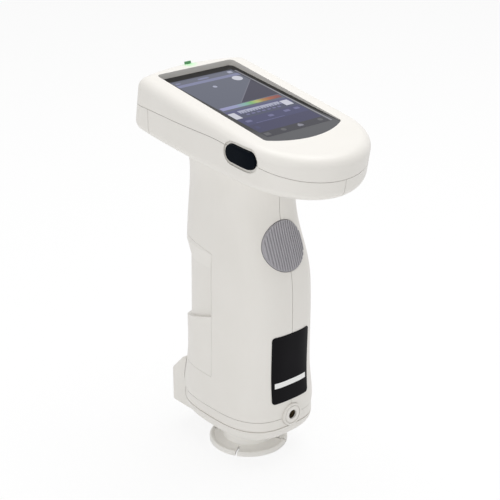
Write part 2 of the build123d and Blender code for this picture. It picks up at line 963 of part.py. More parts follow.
def socket_block():
    """Block on the far side of the base, with the socket and its flap."""
    start = block_root
    edges = Polyline(
        (start, base_height),
        (block_reach, base_height),
        (block_reach, block_shoulder),
        (block_top_y, block_top),
        (start, block_top),
        (start, base_height),
    )
    form = side_solid([edges], block_half_width)
    far_edges = [edge for edge in form.edges() if edge.center().Y > start + block_round]
    form = fillet(far_edges, block_round)
    form -= grip_solid(fit_gap) + base_solid(fit_gap)
    rear = block_reach - socket_back_wall
    hollow_edges = Polyline(
        (start, base_height + wall),
        (rear, base_height + wall),
        (rear, block_shoulder - wall / 2),
        (block_top_y - wall / 2, block_top - block_roof),
        (start, block_top - block_roof),
        (start, base_height + wall),
    )
    form -= side_solid([hollow_edges], block_half_width - wall)
    shelf_top = socket_height - socket_opening / 2 - socket_wall - board_thickness - fit_gap
    shelf_x = (port_board_half_width - wall, block_half_width - wall / 2)
    form += mirrored(block(*shelf_x, port_shelf_y, rear + wall / 2, shelf_top - wall, shelf_top))
    reach_x = flap_width / 2 + flap_clearance
    pocket_z = (flap_low - flap_clearance, flap_high + flap_clearance)
    form -= block(-reach_x, reach_x, socket_mouth, block_reach + wall, *pocket_z)
    socket_x = socket_width / 2 + socket_wall + fit_gap
    socket_z = socket_opening / 2 + socket_wall + fit_gap
    form -= block(-socket_x, socket_x, start, block_reach, socket_height - socket_z, socket_height + socket_z)
    pin_x = flap_width / 2 + flap_pin_length + fit_gap
    return form - cross_pin(flap_axis_y, flap_axis_z, -pin_x, pin_x, flap_pin_radius + screw_gap)


def socket_flap():
    """Rubber flap over the socket, hinged at its lower edge."""
    half = flap_width / 2
    plate = block(-half, half, block_reach - flap_thickness, block_reach, flap_axis_z, flap_high)
    plate += cross_pin(flap_axis_y, flap_axis_z, -half, half, flap_thickness / 2)
    pin_x = half + flap_pin_length
    return plate + cross_pin(flap_axis_y, flap_axis_z, -pin_x, pin_x, flap_pin_radius)


def data_socket():
    """Metal socket for the data and charging lead."""
    back = socket_mouth - socket_depth
    outer_x = socket_width / 2 + socket_wall
    outer_z = socket_opening / 2 + socket_wall
    case = block(-outer_x, outer_x, back, socket_mouth, socket_height - outer_z, socket_height + outer_z)
    inner_x = socket_width / 2
    inner_z = (socket_height - socket_opening / 2, socket_height + socket_opening / 2)
    case -= block(-inner_x, inner_x, back + socket_wall, socket_mouth, *inner_z)
    tongue_z = (socket_height - socket_wall, socket_height + socket_wall)
    return case + block(-tongue_half_width, tongue_half_width, back, socket_mouth - tongue_inset, *tongue_z)


def port_board():
    """Small circuit board under the socket."""
    top = socket_height - socket_opening / 2 - socket_wall
    rear = block_reach - socket_back_wall - fit_gap
    half = port_board_half_width
    return block(-half, half, port_board_near, rear, top - board_thickness, top)


def label_plate():
    """Bare rating plate, curved with the grip."""
    height = label_high - label_low
    outline = Pos(0, label_low + height / 2) * RectangleRounded(2 * label_half_width, height, label_round)
    prism = extrude(cross_plane(0) * outline, head_width)
    return (prism & grip_solid(label_thickness)) - (prism & grip_outer)


def threaded_boss():
    """Boss on the near side for a stand or a fixture."""
    face = boss_face_y
    seat = face + boss_face
    boss = depth_pin(0, boss_height, face, seat + insert_length, boss_radius)
    flange = face + boss_proud + wall + boss_flange_gap
    boss += depth_pin(0, boss_height, flange, flange + wall, boss_flange_radius)
    ring = depth_pin(0, boss_height, face, face + boss_groove, boss_groove_radius + boss_groove / 2)
    boss -= ring - depth_pin(0, boss_height, face, face + boss_groove, boss_groove_radius - boss_groove / 2)
    boss -= depth_pin(0, boss_height, face, seat, thread_radius + boss_mouth)
    return boss - depth_pin(0, boss_height, seat, seat + insert_length, insert_radius)


def threaded_insert():
    """Brass insert with the stand thread."""
    seat = boss_face_y + boss_face
    tube = depth_pin(0, boss_height, seat, seat + insert_length, insert_radius - screw_gap)
    return tube - depth_pin(0, boss_height, seat, seat + insert_length, thread_radius)


def sector(radius, low, high, middle_angle, arc):
    """A pie slice of a cylinder."""
    start = radians(middle_angle - arc / 2)
    end = radians(middle_angle + arc / 2)
    middle = radians(middle_angle)
    first = (radius * cos(start), radius * sin(start))
    last = (radius * cos(end), radius * sin(end))
    centre = (radius * cos(middle), radius * sin(middle))
    edges = [Polyline(last, (0, 0), first), ThreePointArc(first, centre, last)]
    return extrude(Pos(0, 0, low) * make_face(edges), high - low)


def measuring_nose():
    """Nose with the measuring port, a light cone inside and three locking lugs outside."""
    top = base_height + wall + nose_flange
    outline = Polyline(
        (port_radius, 0),
        (nose_tip_radius, 0),
        (nose_radius, port_land),
        (nose_radius, base_height + wall),
        (nose_flange_radius, base_height + wall),
        (nose_flange_radius, top),
        (light_cone_radius, top),
        (port_radius, port_land),
        (port_radius, 0),
    )
    nose = revolve(side_plane() * make_face(outline), Axis.Z)
    bore = post(0, 0, 0, top, nose_radius - wall)
    for index in range(lug_count):
        nose += sector(lug_radius, lug_low, lug_high, lug_angle(index), lug_arc) - bore
    return nose


def lug_angle(index):
    """Direction of a locking lug of the measuring nose."""
    return 90 + index * 360 / lug_count


def stabiliser():
    """Foot plate with cross slits that turns on the measuring nose and can be locked off."""
    bore = nose_radius + running_gap
    lip_top = foot_rim_height
    outline = Polyline(
        (bore, 0),
        (bore + foot_lip, 0),
        (bore + foot_lip, foot_recess),
        (foot_radius - foot_lip, foot_recess),
        (foot_radius - foot_lip, 0),
        (foot_radius, 0),
        (foot_radius, lip_top - foot_recess),
        (foot_radius - foot_recess, lip_top),
        (foot_radius - foot_lip, lip_top),
        (foot_radius - foot_lip - foot_recess / 2, lip_top - foot_recess / 2),
        (foot_hub_radius, foot_plate_height),
        (foot_hub_radius, foot_hub_height),
        (bore, foot_hub_height),
        (bore, 0),
    )
    foot = revolve(side_plane() * make_face(outline), Axis.Z)
    groove = lug_radius + running_gap
    cut = [post(0, 0, lug_low - running_gap, lug_high + running_gap, groove)]
    entry_arc = lug_arc + lug_entry_spare
    for index in range(lug_count):
        entry = lug_angle(index) - stabiliser_turn
        cut.append(sector(lug_radius + fit_gap, lug_low, foot_hub_height + wall, entry, entry_arc))
    slit_z = (-wall, foot_plate_height + wall)
    slit = block(slit_inner, foot_radius + wall, -slit_width / 2, slit_width / 2, *slit_z)
    for index in range(slit_count):
        cut.append(Rot(0, 0, slit_angle + index * 360 / slit_count) * slit)
    return foot - join(cut)


def sphere_half(upper):
    """One half of the integrating sphere with its flange, open towards the other half."""
    sign = 1 if upper else -1
    seat = sphere_seat_radius if not upper else 0
    hole = light_cone_radius if not upper else 0
    seat_z = sqrt(sphere_outside ** 2 - seat ** 2)
    hole_z = sqrt(sphere_radius ** 2 - hole ** 2)
    flange_r = sqrt(sphere_outside ** 2 - sphere_flange ** 2)
    slant = sin(pi / 4)
    outer_middle = (sphere_outside * slant, sign * sphere_outside * slant)
    inner_middle = (sphere_radius * slant, sign * sphere_radius * slant)
    edges = [
        ThreePointArc((seat, sign * seat_z), outer_middle, (flange_r, sign * sphere_flange)),
        Polyline(
            (flange_r, sign * sphere_flange),
            (sphere_flange_radius, sign * sphere_flange),
            (sphere_flange_radius, 0),
            (sphere_radius, 0),
        ),
        ThreePointArc((sphere_radius, 0), inner_middle, (hole, sign * hole_z)),
    ]
    if upper:
        edges.append(Line((0, hole_z), (0, seat_z)))
    else:
        edges.append(Polyline((hole, -hole_z), (hole, -seat_z), (seat, -seat_z)))
    half = revolve(side_plane() * Pos(0, sphere_height) * make_face(edges), Axis.Z)
    return half - sphere_screw_holes()


def tilted_pin(direction, start, end, radius):
    """A round pin from the centre of the sphere outwards along a direction."""
    place = Plane(origin=(0, 0, sphere_height), z_dir=direction)
    return extrude(place * Pos(0, 0, start) * Circle(radius), end - start)


def lamp_direction(side):
    """Direction of a lamp as seen from the centre of the sphere."""
    return (side * sin(radians(lamp_angle)), 0, cos(radians(lamp_angle)))


def sphere_lower():
    """Lower half of the integrating sphere, on the measuring nose."""
    return sphere_half(False)


def sphere_upper():
    """Upper half of the integrating sphere with the lamp holes and the seat of the lens barrel."""
    half = sphere_half(True)
    ball = Pos(0, 0, sphere_height) * Sphere(sphere_radius)
    half += tilted_pin(barrel_direction, sphere_radius, barrel_start, barrel_radius + wall / 2) - ball
    half -= tilted_pin(barrel_direction, 0, barrel_start, barrel_bore)
    for side in (-1, 1):
        half -= tilted_pin(lamp_direction(side), 0, lamp_reach, lamp_radius + fit_gap)
    return half


def lamp(side):
    """Lamp holder on the sphere with its round board."""
    direction = lamp_direction(side)
    body = tilted_pin(direction, sphere_radius + lamp_depth, lamp_reach - board_thickness, lamp_radius)
    collar = tilted_pin(direction, lamp_seat, lamp_reach, lamp_radius + lamp_rim)
    return body + collar


def lens_barrel():
    """Barrel that takes the light from the sphere up to the spectrometer."""
    tube = tilted_pin(barrel_direction, barrel_start, barrel_start + optics_high, barrel_radius)
    tube -= tilted_pin(barrel_direction, barrel_start, barrel_start + optics_high, barrel_bore)
    return tube & block(-head_width, head_width, -head_width, head_width, 0, optics_low)


def collector_lens():
    """Double convex lens in the barrel."""
    radius = barrel_bore - screw_gap
    rim = lens_edge / 2
    crown = rim + lens_crown
    curve = (radius ** 2 + lens_crown ** 2) / (2 * lens_crown)
    middle = crown - curve + sqrt(curve ** 2 - radius ** 2 / 4)
    edges = [
        Polyline((0, -crown), (0, crown)),
        ThreePointArc((0, crown), (radius / 2, middle), (radius, rim)),
        Line((radius, rim), (radius, -rim)),
        ThreePointArc((radius, -rim), (radius / 2, -middle), (0, -crown)),
    ]
    lens = revolve(side_plane() * make_face(edges), Axis.Z)
    place = Plane(origin=(0, 0, sphere_height), z_dir=barrel_direction)
    return place * Pos(0, 0, barrel_start + lens_place) * lens


def optics_hole_y():
    """Where the axis of the barrel meets the floor of the spectrometer."""
    return (optics_low - sphere_height) * tan(radians(barrel_angle))


def spectrometer_body():
    """Open housing of the spectrometer, with pegs for the main board."""
    body = block(-optics_half_width, optics_half_width, optics_near, optics_far, optics_low, optics_high)
    inside = optics_half_width - optics_wall
    inside_y = (optics_near + optics_wall, optics_far - optics_wall)
    body -= block(-inside, inside, *inside_y, optics_low + optics_wall, optics_high)
    body -= post(0, optics_hole_y(), optics_low, optics_low + optics_wall, barrel_bore)
    for x in (-peg_x, peg_x):
        for z in (optics_low + peg_inset, optics_high - peg_inset):
            body += depth_pin(x, z, main_board_y, optics_near, peg_radius)
    return body


def spectrometer_lid():
    """Lid of the spectrometer."""
    top = optics_high + lid_thickness
    return block(-optics_half_width, optics_half_width, optics_near, optics_far, optics_high, top)


def fold_mirror():
    """Sloped mirror under the lid that turns the light towards the grating."""
    near = optics_hole_y() - mirror_half_depth
    far = optics_hole_y() + mirror_half_depth
    edges = Polyline(
        (near, optics_high),
        (far, optics_high),
        (far, mirror_low),
        (near, mirror_low + far - near),
        (near, optics_high),
    )
    return side_solid([edges], mirror_half_width)


def concave_grating():
    """Grating with a hollow face that spreads the light."""
    floor = optics_low + optics_wall
    back = optics_near + optics_wall + fit_gap
    face = back + grating_depth
    plate = block(-grating_half_width, grating_half_width, back, face, floor, floor + grating_height)
    bowl = Pos(0, face + grating_curve - grating_sag, floor + grating_height / 2) * Sphere(grating_curve)
    return plate - bowl


def sensor_board():
    """Board with the line sensor on the side wall of the spectrometer."""
    wall_x = optics_half_width - optics_wall - fit_gap
    floor = optics_low + optics_wall
    near = optics_near + 2 * optics_wall + grating_depth
    far = optics_far - optics_wall - fit_gap
    chip_x = wall_x - board_thickness
    board = block(chip_x, wall_x, near, far, floor, floor + grating_height)
    chip_y = near + sensor_inset
    chip_z = floor + sensor_inset
    chip = block(chip_x - chip_height, chip_x, chip_y, chip_y + sensor_length, chip_z, chip_z + sensor_height)
    return board + chip


def main_board():
    """Main circuit board in front of the spectrometer, with its largest chips."""
    front = main_board_y - board_thickness
    half = main_board_half_width
    board = block(-half, half, front, main_board_y, main_board_low, main_board_high)
    for x, z, side in chip_places:
        board += block(x - side / 2, x + side / 2, front - chip_height, front, z - side / 2, z + side / 2)
    return board


def battery_tray():
    """Tray behind the grip cover that holds the battery."""
    near = optics_far + tray_gap
    far = near + tray_thickness
    reach = far + battery_gap + battery_depth
    tray = block(-tray_half_width, tray_half_width, near, far, tray_low, tray_high)
    lip = battery_half_width + tray_thickness
    tray += block(-lip, lip, near, reach, tray_low, tray_low + tray_thickness)
    return tray + block(-lip, lip, near, reach, tray_high - tray_thickness, tray_high)


def battery_pack():
    """Flat rechargeable battery."""
    near = optics_far + tray_gap + tray_thickness + battery_gap
    low = tray_low + tray_thickness + battery_gap
    high = tray_high - tray_thickness - battery_gap
    pack = block(-battery_half_width, battery_half_width, near, near + battery_depth, low, high)
    return fillet(pack.edges().filter_by(Axis.Z), battery_round)


def thumb_button():
    """The ribbed measuring button, curved like the thumb face, with its flange and stem."""
    flange_top = -wall - running_gap
    flange_low = flange_top - button_flange_depth
    reach = button_board_depth
    skin = button_pin(-reach, reach, button_radius) & grip_solid(rib_base)
    ridges = []
    count = int(button_radius / rib_pitch)
    for index in range(-count, count + 1):
        x = index * rib_pitch
        ridges.append(block(x - rib_width / 2, x + rib_width / 2, -head_width, 0, 0, rim_height))
    crown = button_pin(-reach, reach, button_radius - rib_base) & grip_solid(button_proud) & join(ridges)
    flange = button_pin(-reach, reach, button_radius + button_flange) & grip_solid(flange_top)
    stem_low = button_stem_low()
    stem = button_pin(stem_low, flange_low + button_flange_depth / 2, button_stem_radius)
    return skin + crown + flange - grip_solid(flange_low) + stem


def button_stem_low():
    """Inner end of the button's stem, clear of the switch until the button is pressed."""
    return -button_board_depth + switch_height + switch_cap + button_travel + screw_gap


def button_sleeve():
    """Silicone sleeve that pushes the button back."""
    bottom = -button_board_depth
    top = -wall - running_gap - button_flange_depth - sleeve_gap
    outline = Polyline(
        (sleeve_low_radius, bottom),
        (sleeve_low_radius + sleeve_wall, bottom),
        (sleeve_top_radius + sleeve_wall, top),
        (sleeve_top_radius, top),
        (sleeve_low_radius, bottom),
    )
    ring = revolve(side_plane() * make_face(outline), Axis.Z)
    return button_plane * ring


def switch_carrier():
    """Ring behind the thumb face that guides the button and holds its board."""
    inside = button_radius + button_flange + button_gap
    outside = inside + carrier_wall
    reach = button_board_depth
    ring = button_pin(-reach, reach, outside) - button_pin(-reach, reach, inside)
    return ring & grip_solid(-wall - fit_gap)


def button_board():
    """Board of the measuring switch."""
    half = button_radius + button_flange
    outline = Rectangle(2 * half, 2 * button_board_reach)
    return extrude(button_plane * Pos(0, 0, -button_board_depth - board_thickness) * outline, board_thickness)


def measure_switch():
    """Push switch under the measuring button."""
    low = -button_board_depth
    case = extrude(button_plane * Pos(0, 0, low) * Rectangle(switch_side, switch_side), switch_height)
    return case + button_pin(low + switch_height, low + switch_height + switch_cap, switch_cap_radius)


def power_key():
    """Black power key, curved with the side of the head, with its flange and stem."""
    flange_top = -wall - running_gap
    flange_low = flange_top - key_flange
    face = key_slot(0, 0, left_side - wall, key_flange_x) & head_solid(key_proud)
    flange = key_slot(2 * key_flange, 2 * key_flange, left_side - wall, key_flange_x) & head_solid(flange_top)
    stem_end = key_board_x - key_switch_height - switch_cap - key_travel - fit_gap
    stem = cross_pin(key_y, key_z, left_side - flange_low - key_flange / 2, stem_end, key_stem_radius)
    return face + flange - head_solid(flange_low) + stem


def key_board():
    """Board of the power switch, on two posts of the left shell."""
    y = (key_y - key_board_near, key_y + key_board_far)
    z = (key_z - key_board_low, key_z + key_board_high)
    return block(key_board_x, key_board_x + key_board_thickness, *y, *z)


def key_switch():
    """Push switch under the power key."""
    face = key_board_x - key_switch_height
    half = switch_side / 2
    case = block(face, key_board_x, key_y - half, key_y + half, key_z - half, key_z + half)
    return case + cross_pin(key_y, key_z, face - switch_cap, face, key_stem_radius)


def ribbon_cable():
    """Flat cable from the head board down to the main board."""
    lean = radians(screen_tilt)
    top = screen_height + ribbon_y * tan(lean) + (head_board_low - ribbon_gap) / cos(lean) - ribbon_thickness
    board_y = main_board_y + ribbon_gap + ribbon_thickness / 2
    lap = [(board_y, main_board_high - drop) for drop in ribbon_lap]
    path = FilletPolyline((ribbon_y, top), *ribbon_middle, *lap, radius=ribbon_bend)
    strip = trace(path, ribbon_thickness)
    return extrude(side_plane() * strip, ribbon_half_width, both=True)


def build():
    """All pieces of the instrument by name."""
    lower = lower_shells()
    pieces = {
        "top_shell": top_shell(),
        "left_shell": lower & half_space(-1),
        "right_shell": lower & half_space(1),
        "tail_cap": tail_cap(),
        "grip_cover": grip_cover(),
        "base_collar": base_collar(),
        "socket_block": socket_block(),
        "display_glass": display_glass(),
        "display_module": display_module(),
        "display_bracket": display_bracket(),
        "head_board": head_board(),
        "buzzer": buzzer(),
        "status_lens": lens_form(0),
        "thumb_button": thumb_button(),
        "button_sleeve": button_sleeve(),
        "switch_carrier": switch_carrier(),
        "button_board": button_board(),
        "measure_switch": measure_switch(),
        "power_key": power_key(),
        "key_board": key_board(),
        "key_switch": key_switch(),
        "label_plate": label_plate(),
        "threaded_boss": threaded_boss(),
        "threaded_insert": threaded_insert(),
        "data_socket": data_socket(),
        "socket_flap": socket_flap(),
        "port_board": port_board(),
        "measuring_nose": measuring_nose(),
        "stabiliser": stabiliser(),
        "sphere_lower": sphere_lower(),
        "sphere_upper": sphere_upper(),
        "lamp_left": lamp(-1),
        "lamp_right": lamp(1),
        "lens_barrel": lens_barrel(),
        "collector_lens": collector_lens(),
        "spectrometer_body": spectrometer_body(),
        "spectrometer_lid": spectrometer_lid(),
        "fold_mirror": fold_mirror(),
        "concave_grating": concave_grating(),
        "sensor_board": sensor_board(),
        "main_board": main_board(),
        "battery_tray": battery_tray(),
        "battery_pack": battery_pack(),
        "ribbon_cable": ribbon_cable(),
        "shell_screws": shell_screws(),
        "base_screws": base_screws(),
        "head_screws": head_screws(),
        "display_screws": display_screws(),
        "sphere_screws": sphere_screws(),
    }
    return pieces


os.makedirs("parts", exist_ok=True)
for name, piece in build().items():
    export_step(piece, f"parts/{name}.step")
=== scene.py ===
# %% [markdown]
# A handheld colour spectrophotometer, dressed for a studio picture.
# The rigid pieces come from the engineer's model and stay where they are. This script gives them their
# finish and adds the fine shapes that the model leaves plain, such as the picture on the display, the
# cross recesses of the screws and the thread of the stand insert.
# The first cell loads the engineer's model as a fixed frame.

# %% Load the frame
import math
import bmesh
import bpy
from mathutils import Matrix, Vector


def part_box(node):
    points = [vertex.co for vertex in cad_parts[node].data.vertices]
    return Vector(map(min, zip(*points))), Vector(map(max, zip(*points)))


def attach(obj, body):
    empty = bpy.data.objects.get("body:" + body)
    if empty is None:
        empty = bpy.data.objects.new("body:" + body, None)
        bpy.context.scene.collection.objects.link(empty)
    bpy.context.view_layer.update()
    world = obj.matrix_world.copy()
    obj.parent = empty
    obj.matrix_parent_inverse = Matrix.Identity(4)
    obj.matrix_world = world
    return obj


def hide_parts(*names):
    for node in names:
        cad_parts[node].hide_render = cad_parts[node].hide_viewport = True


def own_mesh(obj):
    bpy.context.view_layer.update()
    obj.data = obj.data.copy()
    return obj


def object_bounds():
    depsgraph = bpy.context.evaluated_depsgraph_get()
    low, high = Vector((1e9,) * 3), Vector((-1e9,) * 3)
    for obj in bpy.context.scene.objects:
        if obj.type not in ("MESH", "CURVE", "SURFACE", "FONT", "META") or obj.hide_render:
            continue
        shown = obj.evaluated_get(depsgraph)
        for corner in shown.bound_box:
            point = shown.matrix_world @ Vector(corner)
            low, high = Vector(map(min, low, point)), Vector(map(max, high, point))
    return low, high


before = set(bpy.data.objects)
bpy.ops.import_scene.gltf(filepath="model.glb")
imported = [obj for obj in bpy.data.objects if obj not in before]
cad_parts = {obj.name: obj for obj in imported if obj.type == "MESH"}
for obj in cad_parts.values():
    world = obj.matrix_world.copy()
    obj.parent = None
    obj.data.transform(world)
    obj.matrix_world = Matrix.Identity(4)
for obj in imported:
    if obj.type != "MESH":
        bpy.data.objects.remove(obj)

MM = 0.001
cad_low, cad_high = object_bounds()
size_mm = [round(x / MM, 1) for x in cad_high - cad_low]
print("pieces in the frame:", len(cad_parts), "size in mm:", size_mm)

# %% [markdown]
# The camera comes first, because every later choice is judged through it.
# The photograph was taken from the front left, a little above, with a long lens: parallel edges hardly
# converge. A camera could be placed by eye, but the values below were fitted instead: they are the
# place, the lens and the small shift of the picture that put the model's edges on the photograph's.
# Cameras, lamps and meshes all enter a scene in the same two lines, so a small function holds them.

# %% Camera
CAMERA_AZIMUTH = 40.75  # degrees, from the front towards the left
CAMERA_ELEVATION = 23.9  # degrees above the horizon
CAMERA_DISTANCE = 0.718
CAMERA_TARGET = Vector((0, 0, 0.108))
CAMERA_LENS = 92.0  # millimetres, on a sensor of this width
CAMERA_SENSOR = 36.0
CAMERA_SHIFT = (0.0031, 0.0411)
CAMERA_NEAR = 0.01


def add_object(name, data):
    """Puts a camera, a lamp or a mesh into the scene as an object at the origin."""
    made = bpy.data.objects.new(name, data)
    bpy.context.scene.collection.objects.link(made)
    return made


def place_camera():
    """A camera that looks back at the target from the photograph's direction."""
    side = math.radians(CAMERA_AZIMUTH)
    up = math.radians(CAMERA_ELEVATION)
    back = Vector((-math.sin(side) * math.cos(up), -math.cos(side) * math.cos(up), math.sin(up)))
    data = bpy.data.cameras.new("photo_camera")
    data.lens = CAMERA_LENS
    data.sensor_width = CAMERA_SENSOR
    data.shift_x, data.shift_y = CAMERA_SHIFT
    data.clip_start = CAMERA_NEAR
    camera = add_object("photo_camera", data)
    camera.location = CAMERA_TARGET + back * CAMERA_DISTANCE
    camera.rotation_euler = (-back).to_track_quat("-Z", "Y").to_euler()
    bpy.context.scene.camera = camera
    return camera


camera = place_camera()
print("camera at", [round(x, 3) for x in camera.location])

# %% [markdown]
# Colours are written as sRGB hex values, as a colour picker shows them, and the shaders want linear
# light. One function turns the one into the other, so that no colour is ever converted twice.
# Another adds a shader node with its settings and its links, which keeps each material down to the
# few lines that say what is special about it. The Mix node has sockets for numbers, vectors and colours
# under the same names, so its colour sockets go by their places, which get a name here.

# %% Colour and node helpers
MIX_FIRST, MIX_SECOND, MIXED = 6, 7, 2


def srgb(code):
    """Linear colour from an sRGB hex value such as D5D1CB."""
    channels = [int(code[index:index + 2], 16) / 255 for index in (0, 2, 4)]
    linear = [c / 12.92 if c <= 0.04045 else ((c + 0.055) / 1.055) ** 2.4 for c in channels]
    return (*linear, 1.0)


def add_node(tree, kind, settings=None, links=None):
    """Adds a node, sets its properties and sockets, and links sources to its inputs."""
    made = tree.nodes.new(kind)
    for key, value in (settings or {}).items():
        if isinstance(key, str) and hasattr(made, key):
            setattr(made, key, value)
        else:
            made.inputs[key].default_value = value
    for key, source in (links or {}).items():
        tree.links.new(source, made.inputs[key])
    return made


def new_material(name):
    """An empty node material with its output, ready for one shader."""
    material = bpy.data.materials.new(name)
    material.use_nodes = True
    material.node_tree.nodes.clear()
    output = add_node(material.node_tree, "ShaderNodeOutputMaterial")
    return material, material.node_tree, output


def place_of(tree):
    """Object coordinates, which stay on the piece when it moves."""
    return add_node(tree, "ShaderNodeTexCoord").outputs["Object"]


def shader_of(material):
    """The one Principled shader of a finished material, for a later change."""
    return next(node for node in material.node_tree.nodes if node.type == "BSDF_PRINCIPLED")


# %% [markdown]
# Most of the instrument is injection-moulded ABS with a spark-eroded, satin skin.
# Such a skin has three things to show: a fine grain that breaks up the highlights, a very slight change
# of tone where the melt flowed, and a gloss that varies a little. A photographed texture could carry
# them, but noise has no seams and fits any shape. The real grain is about 0.1 mm, too fine for this
# picture, so it is drawn four times as coarse.

# %% Moulded plastic
SHOWN_GRAIN = 0.4 * MM
SOFT_GRAIN = 0.5 * MM
FLOW_MARK = 22 * MM
GRAIN_RANGE = (0.3, 0.7)
GLOSS_SPREAD = 0.05
GRAIN_STRENGTH = 0.25


def moulded(name, colour, flow_colour, roughness, grain=SHOWN_GRAIN, depth=0.02, ior=1.53, specular=0.5):
    """Satin moulded plastic: colour, its slightly different flow tone, gloss and grain."""
    material, tree, output = new_material(name)
    place = place_of(tree)
    flow = add_node(tree, "ShaderNodeTexNoise", {"Scale": 1 / FLOW_MARK, "Detail": 2.0}, {"Vector": place})
    tone = add_node(
        tree, "ShaderNodeMix",
        {"data_type": "RGBA", MIX_FIRST: srgb(colour), MIX_SECOND: srgb(flow_colour)},
        {0: flow.outputs["Fac"]},
    )
    fine = add_node(tree, "ShaderNodeTexNoise", {"Scale": 1 / grain, "Detail": 1.0}, {"Vector": place})
    gloss = add_node(
        tree, "ShaderNodeMapRange",
        {
            "From Min": GRAIN_RANGE[0], "From Max": GRAIN_RANGE[1],
            "To Min": roughness - GLOSS_SPREAD, "To Max": roughness + GLOSS_SPREAD,
        },
        {"Value": fine.outputs["Fac"]},
    )
    bump = add_node(
        tree, "ShaderNodeBump",
        {"Strength": GRAIN_STRENGTH, "Distance": depth * MM}, {"Height": fine.outputs["Fac"]},
    )
    shader = add_node(
        tree, "ShaderNodeBsdfPrincipled", {"IOR": ior, "Specular IOR Level": specular},
        {"Base Color": tone.outputs[MIXED], "Roughness": gloss.outputs[0], "Normal": bump.outputs["Normal"]},
    )
    tree.links.new(shader.outputs["BSDF"], output.inputs["Surface"])
    return material


print("grain drawn at mm:", round(SHOWN_GRAIN / MM, 2))

# %% [markdown]
# The other mouldings are the same kind of material in other colours, so one function makes them all.
# Each is named for its plastic and its surface. The second colour is the tone where the melt flowed, and
# the number is the roughness. The power key is polished, yet in the photograph it is black even where it
# faces the pale surround, so its reflection is set low.

# %% Plastics of the instrument
HOUSING_TONES = ("E5E2DD", "E1DED8")
housing_abs = moulded("spark_eroded_ABS_off_white", *HOUSING_TONES, 0.42)
nose_polycarbonate = moulded("moulded_polycarbonate_white", "EAE8E4", "E6E4DF", 0.36)
# The foot plate is the housing's white plastic written lighter: painted light for the bounce that its shaded
# top lacks.
foot_polycarbonate_painted_light = moulded("moulded_polycarbonate_painted_light", "F6F4F0", "F3F1EC", 0.36)
black_abs = moulded("moulded_ABS_black", "1B1B1D", "17171A", 0.4)
key_abs = moulded("polished_ABS_black", "0A0F15", "0C1118", 0.3, depth=0.004, ior=1.3, specular=0.05)
flap_tpu = moulded("soft_touch_TPU_light_grey", "DAD8D4", "D5D3CF", 0.6, grain=SOFT_GRAIN)
silicone = moulded("moulded_silicone_grey", "B9B9B9", "B4B4B4", 0.5)
battery_film = moulded("shrink_film_blue", "33486F", "2E4267", 0.3)
lamp_plastic = moulded("moulded_PBT_cream", "EDEADF", "E8E4D8", 0.4)
sphere_white = moulded("barium_sulphate_coating_white", "F4F4F2", "F1F1EE", 0.9, depth=0.03)
print("plastics made")

# %% [markdown]
# The measuring button is a grey thermoplastic elastomer. It is duller than the ABS and its ribs catch a
# broad, soft highlight. It could be a material of its own, but it is moulded too, so it is a moulded
# plastic with a higher roughness and a little sheen from its rubbery skin.

# %% Button elastomer
SHEEN = {"Sheen Weight": 0.15, "Sheen Roughness": 0.5}

button_elastomer = moulded("ribbed_elastomer_grey", "AAA8AD", "A5A3A8", 0.6, grain=SOFT_GRAIN, depth=0.03)
for socket, value in SHEEN.items():
    shader_of(button_elastomer).inputs[socket].default_value = value
print("button finish:", button_elastomer.name)

# %% [markdown]
# Metals are all metallic, keep the default IOR and differ in colour, roughness and the direction of
# their marks. Turned brass has rings, rolled sheet has a long grain and zinc plate is cloudy. Each could
# have its own pattern, but one noise, stretched along the marks, gives all three. The marks are drawn
# at a quarter of a millimetre, a few times as coarse as real ones, so that they show. The brass is
# written much darker than brass: painted shade for the deep hole of the stand insert, which looks nearly
# black.

# %% Metals
TOOL_MARK = 0.25 * MM
MARK_DEPTH = 0.01 * MM
MARK_SPREAD = 0.1
SMOOTHEST_METAL = 0.02


def metal(name, colour, roughness, stretch):
    """Metal whose tool marks are a noise stretched along one direction."""
    material, tree, output = new_material(name)
    mapping = add_node(tree, "ShaderNodeMapping", {"Scale": stretch}, {"Vector": place_of(tree)})
    marks = add_node(
        tree, "ShaderNodeTexNoise", {"Scale": 1 / TOOL_MARK, "Detail": 3.0}, {"Vector": mapping.outputs[0]}
    )
    gloss = add_node(
        tree, "ShaderNodeMapRange",
        {"To Min": max(roughness - MARK_SPREAD, SMOOTHEST_METAL), "To Max": roughness + MARK_SPREAD},
        {"Value": marks.outputs["Fac"]},
    )
    bump = add_node(
        tree, "ShaderNodeBump", {"Strength": 0.2, "Distance": MARK_DEPTH}, {"Height": marks.outputs["Fac"]}
    )
    shader = add_node(
        tree, "ShaderNodeBsdfPrincipled", {"Base Color": srgb(colour), "Metallic": 1.0},
        {"Roughness": gloss.outputs[0], "Normal": bump.outputs["Normal"]},
    )
    tree.links.new(shader.outputs["BSDF"], output.inputs["Surface"])
    return material


zinc_steel = metal("zinc_plated_steel", "B9BABC", 0.32, (1, 1, 1))
# The brass colour is painted shade: dark for the deep hole it sits in.
turned_brass = metal("turned_brass_painted_shade", "5A4E3A", 0.45, (1, 12, 1))
rolled_aluminium = metal("rolled_aluminium_sheet", "C6C8CA", 0.38, (1, 12, 12))
anodised_black = metal("black_anodised_aluminium", "2A2B2E", 0.45, (1, 1, 1))
optical_mirror = metal("aluminised_glass", "DADCDD", 0.06, (1, 1, 1))
print("metals made")

# %% [markdown]
# The cover glass is printed black on its back, so from outside it is a dark mirror. Clear glass over a
# black sheet would give the same with more to compute, so it is one glossy black surface. A coating on
# the real one takes about half of the reflection away, which a lower IOR gives. The border at the user's
# end looks grey from the reflection of the studio, and that grey is a painted reflection: the base colour
# turns lighter along the screen towards the user. Hands leave faint smears on such a glass, which a
# broad noise in the roughness draws.

# %% Cover glass
SMEAR = 9 * MM
SMEAR_SPREAD = 0.03
SMOOTHEST_FLAT = 0.01


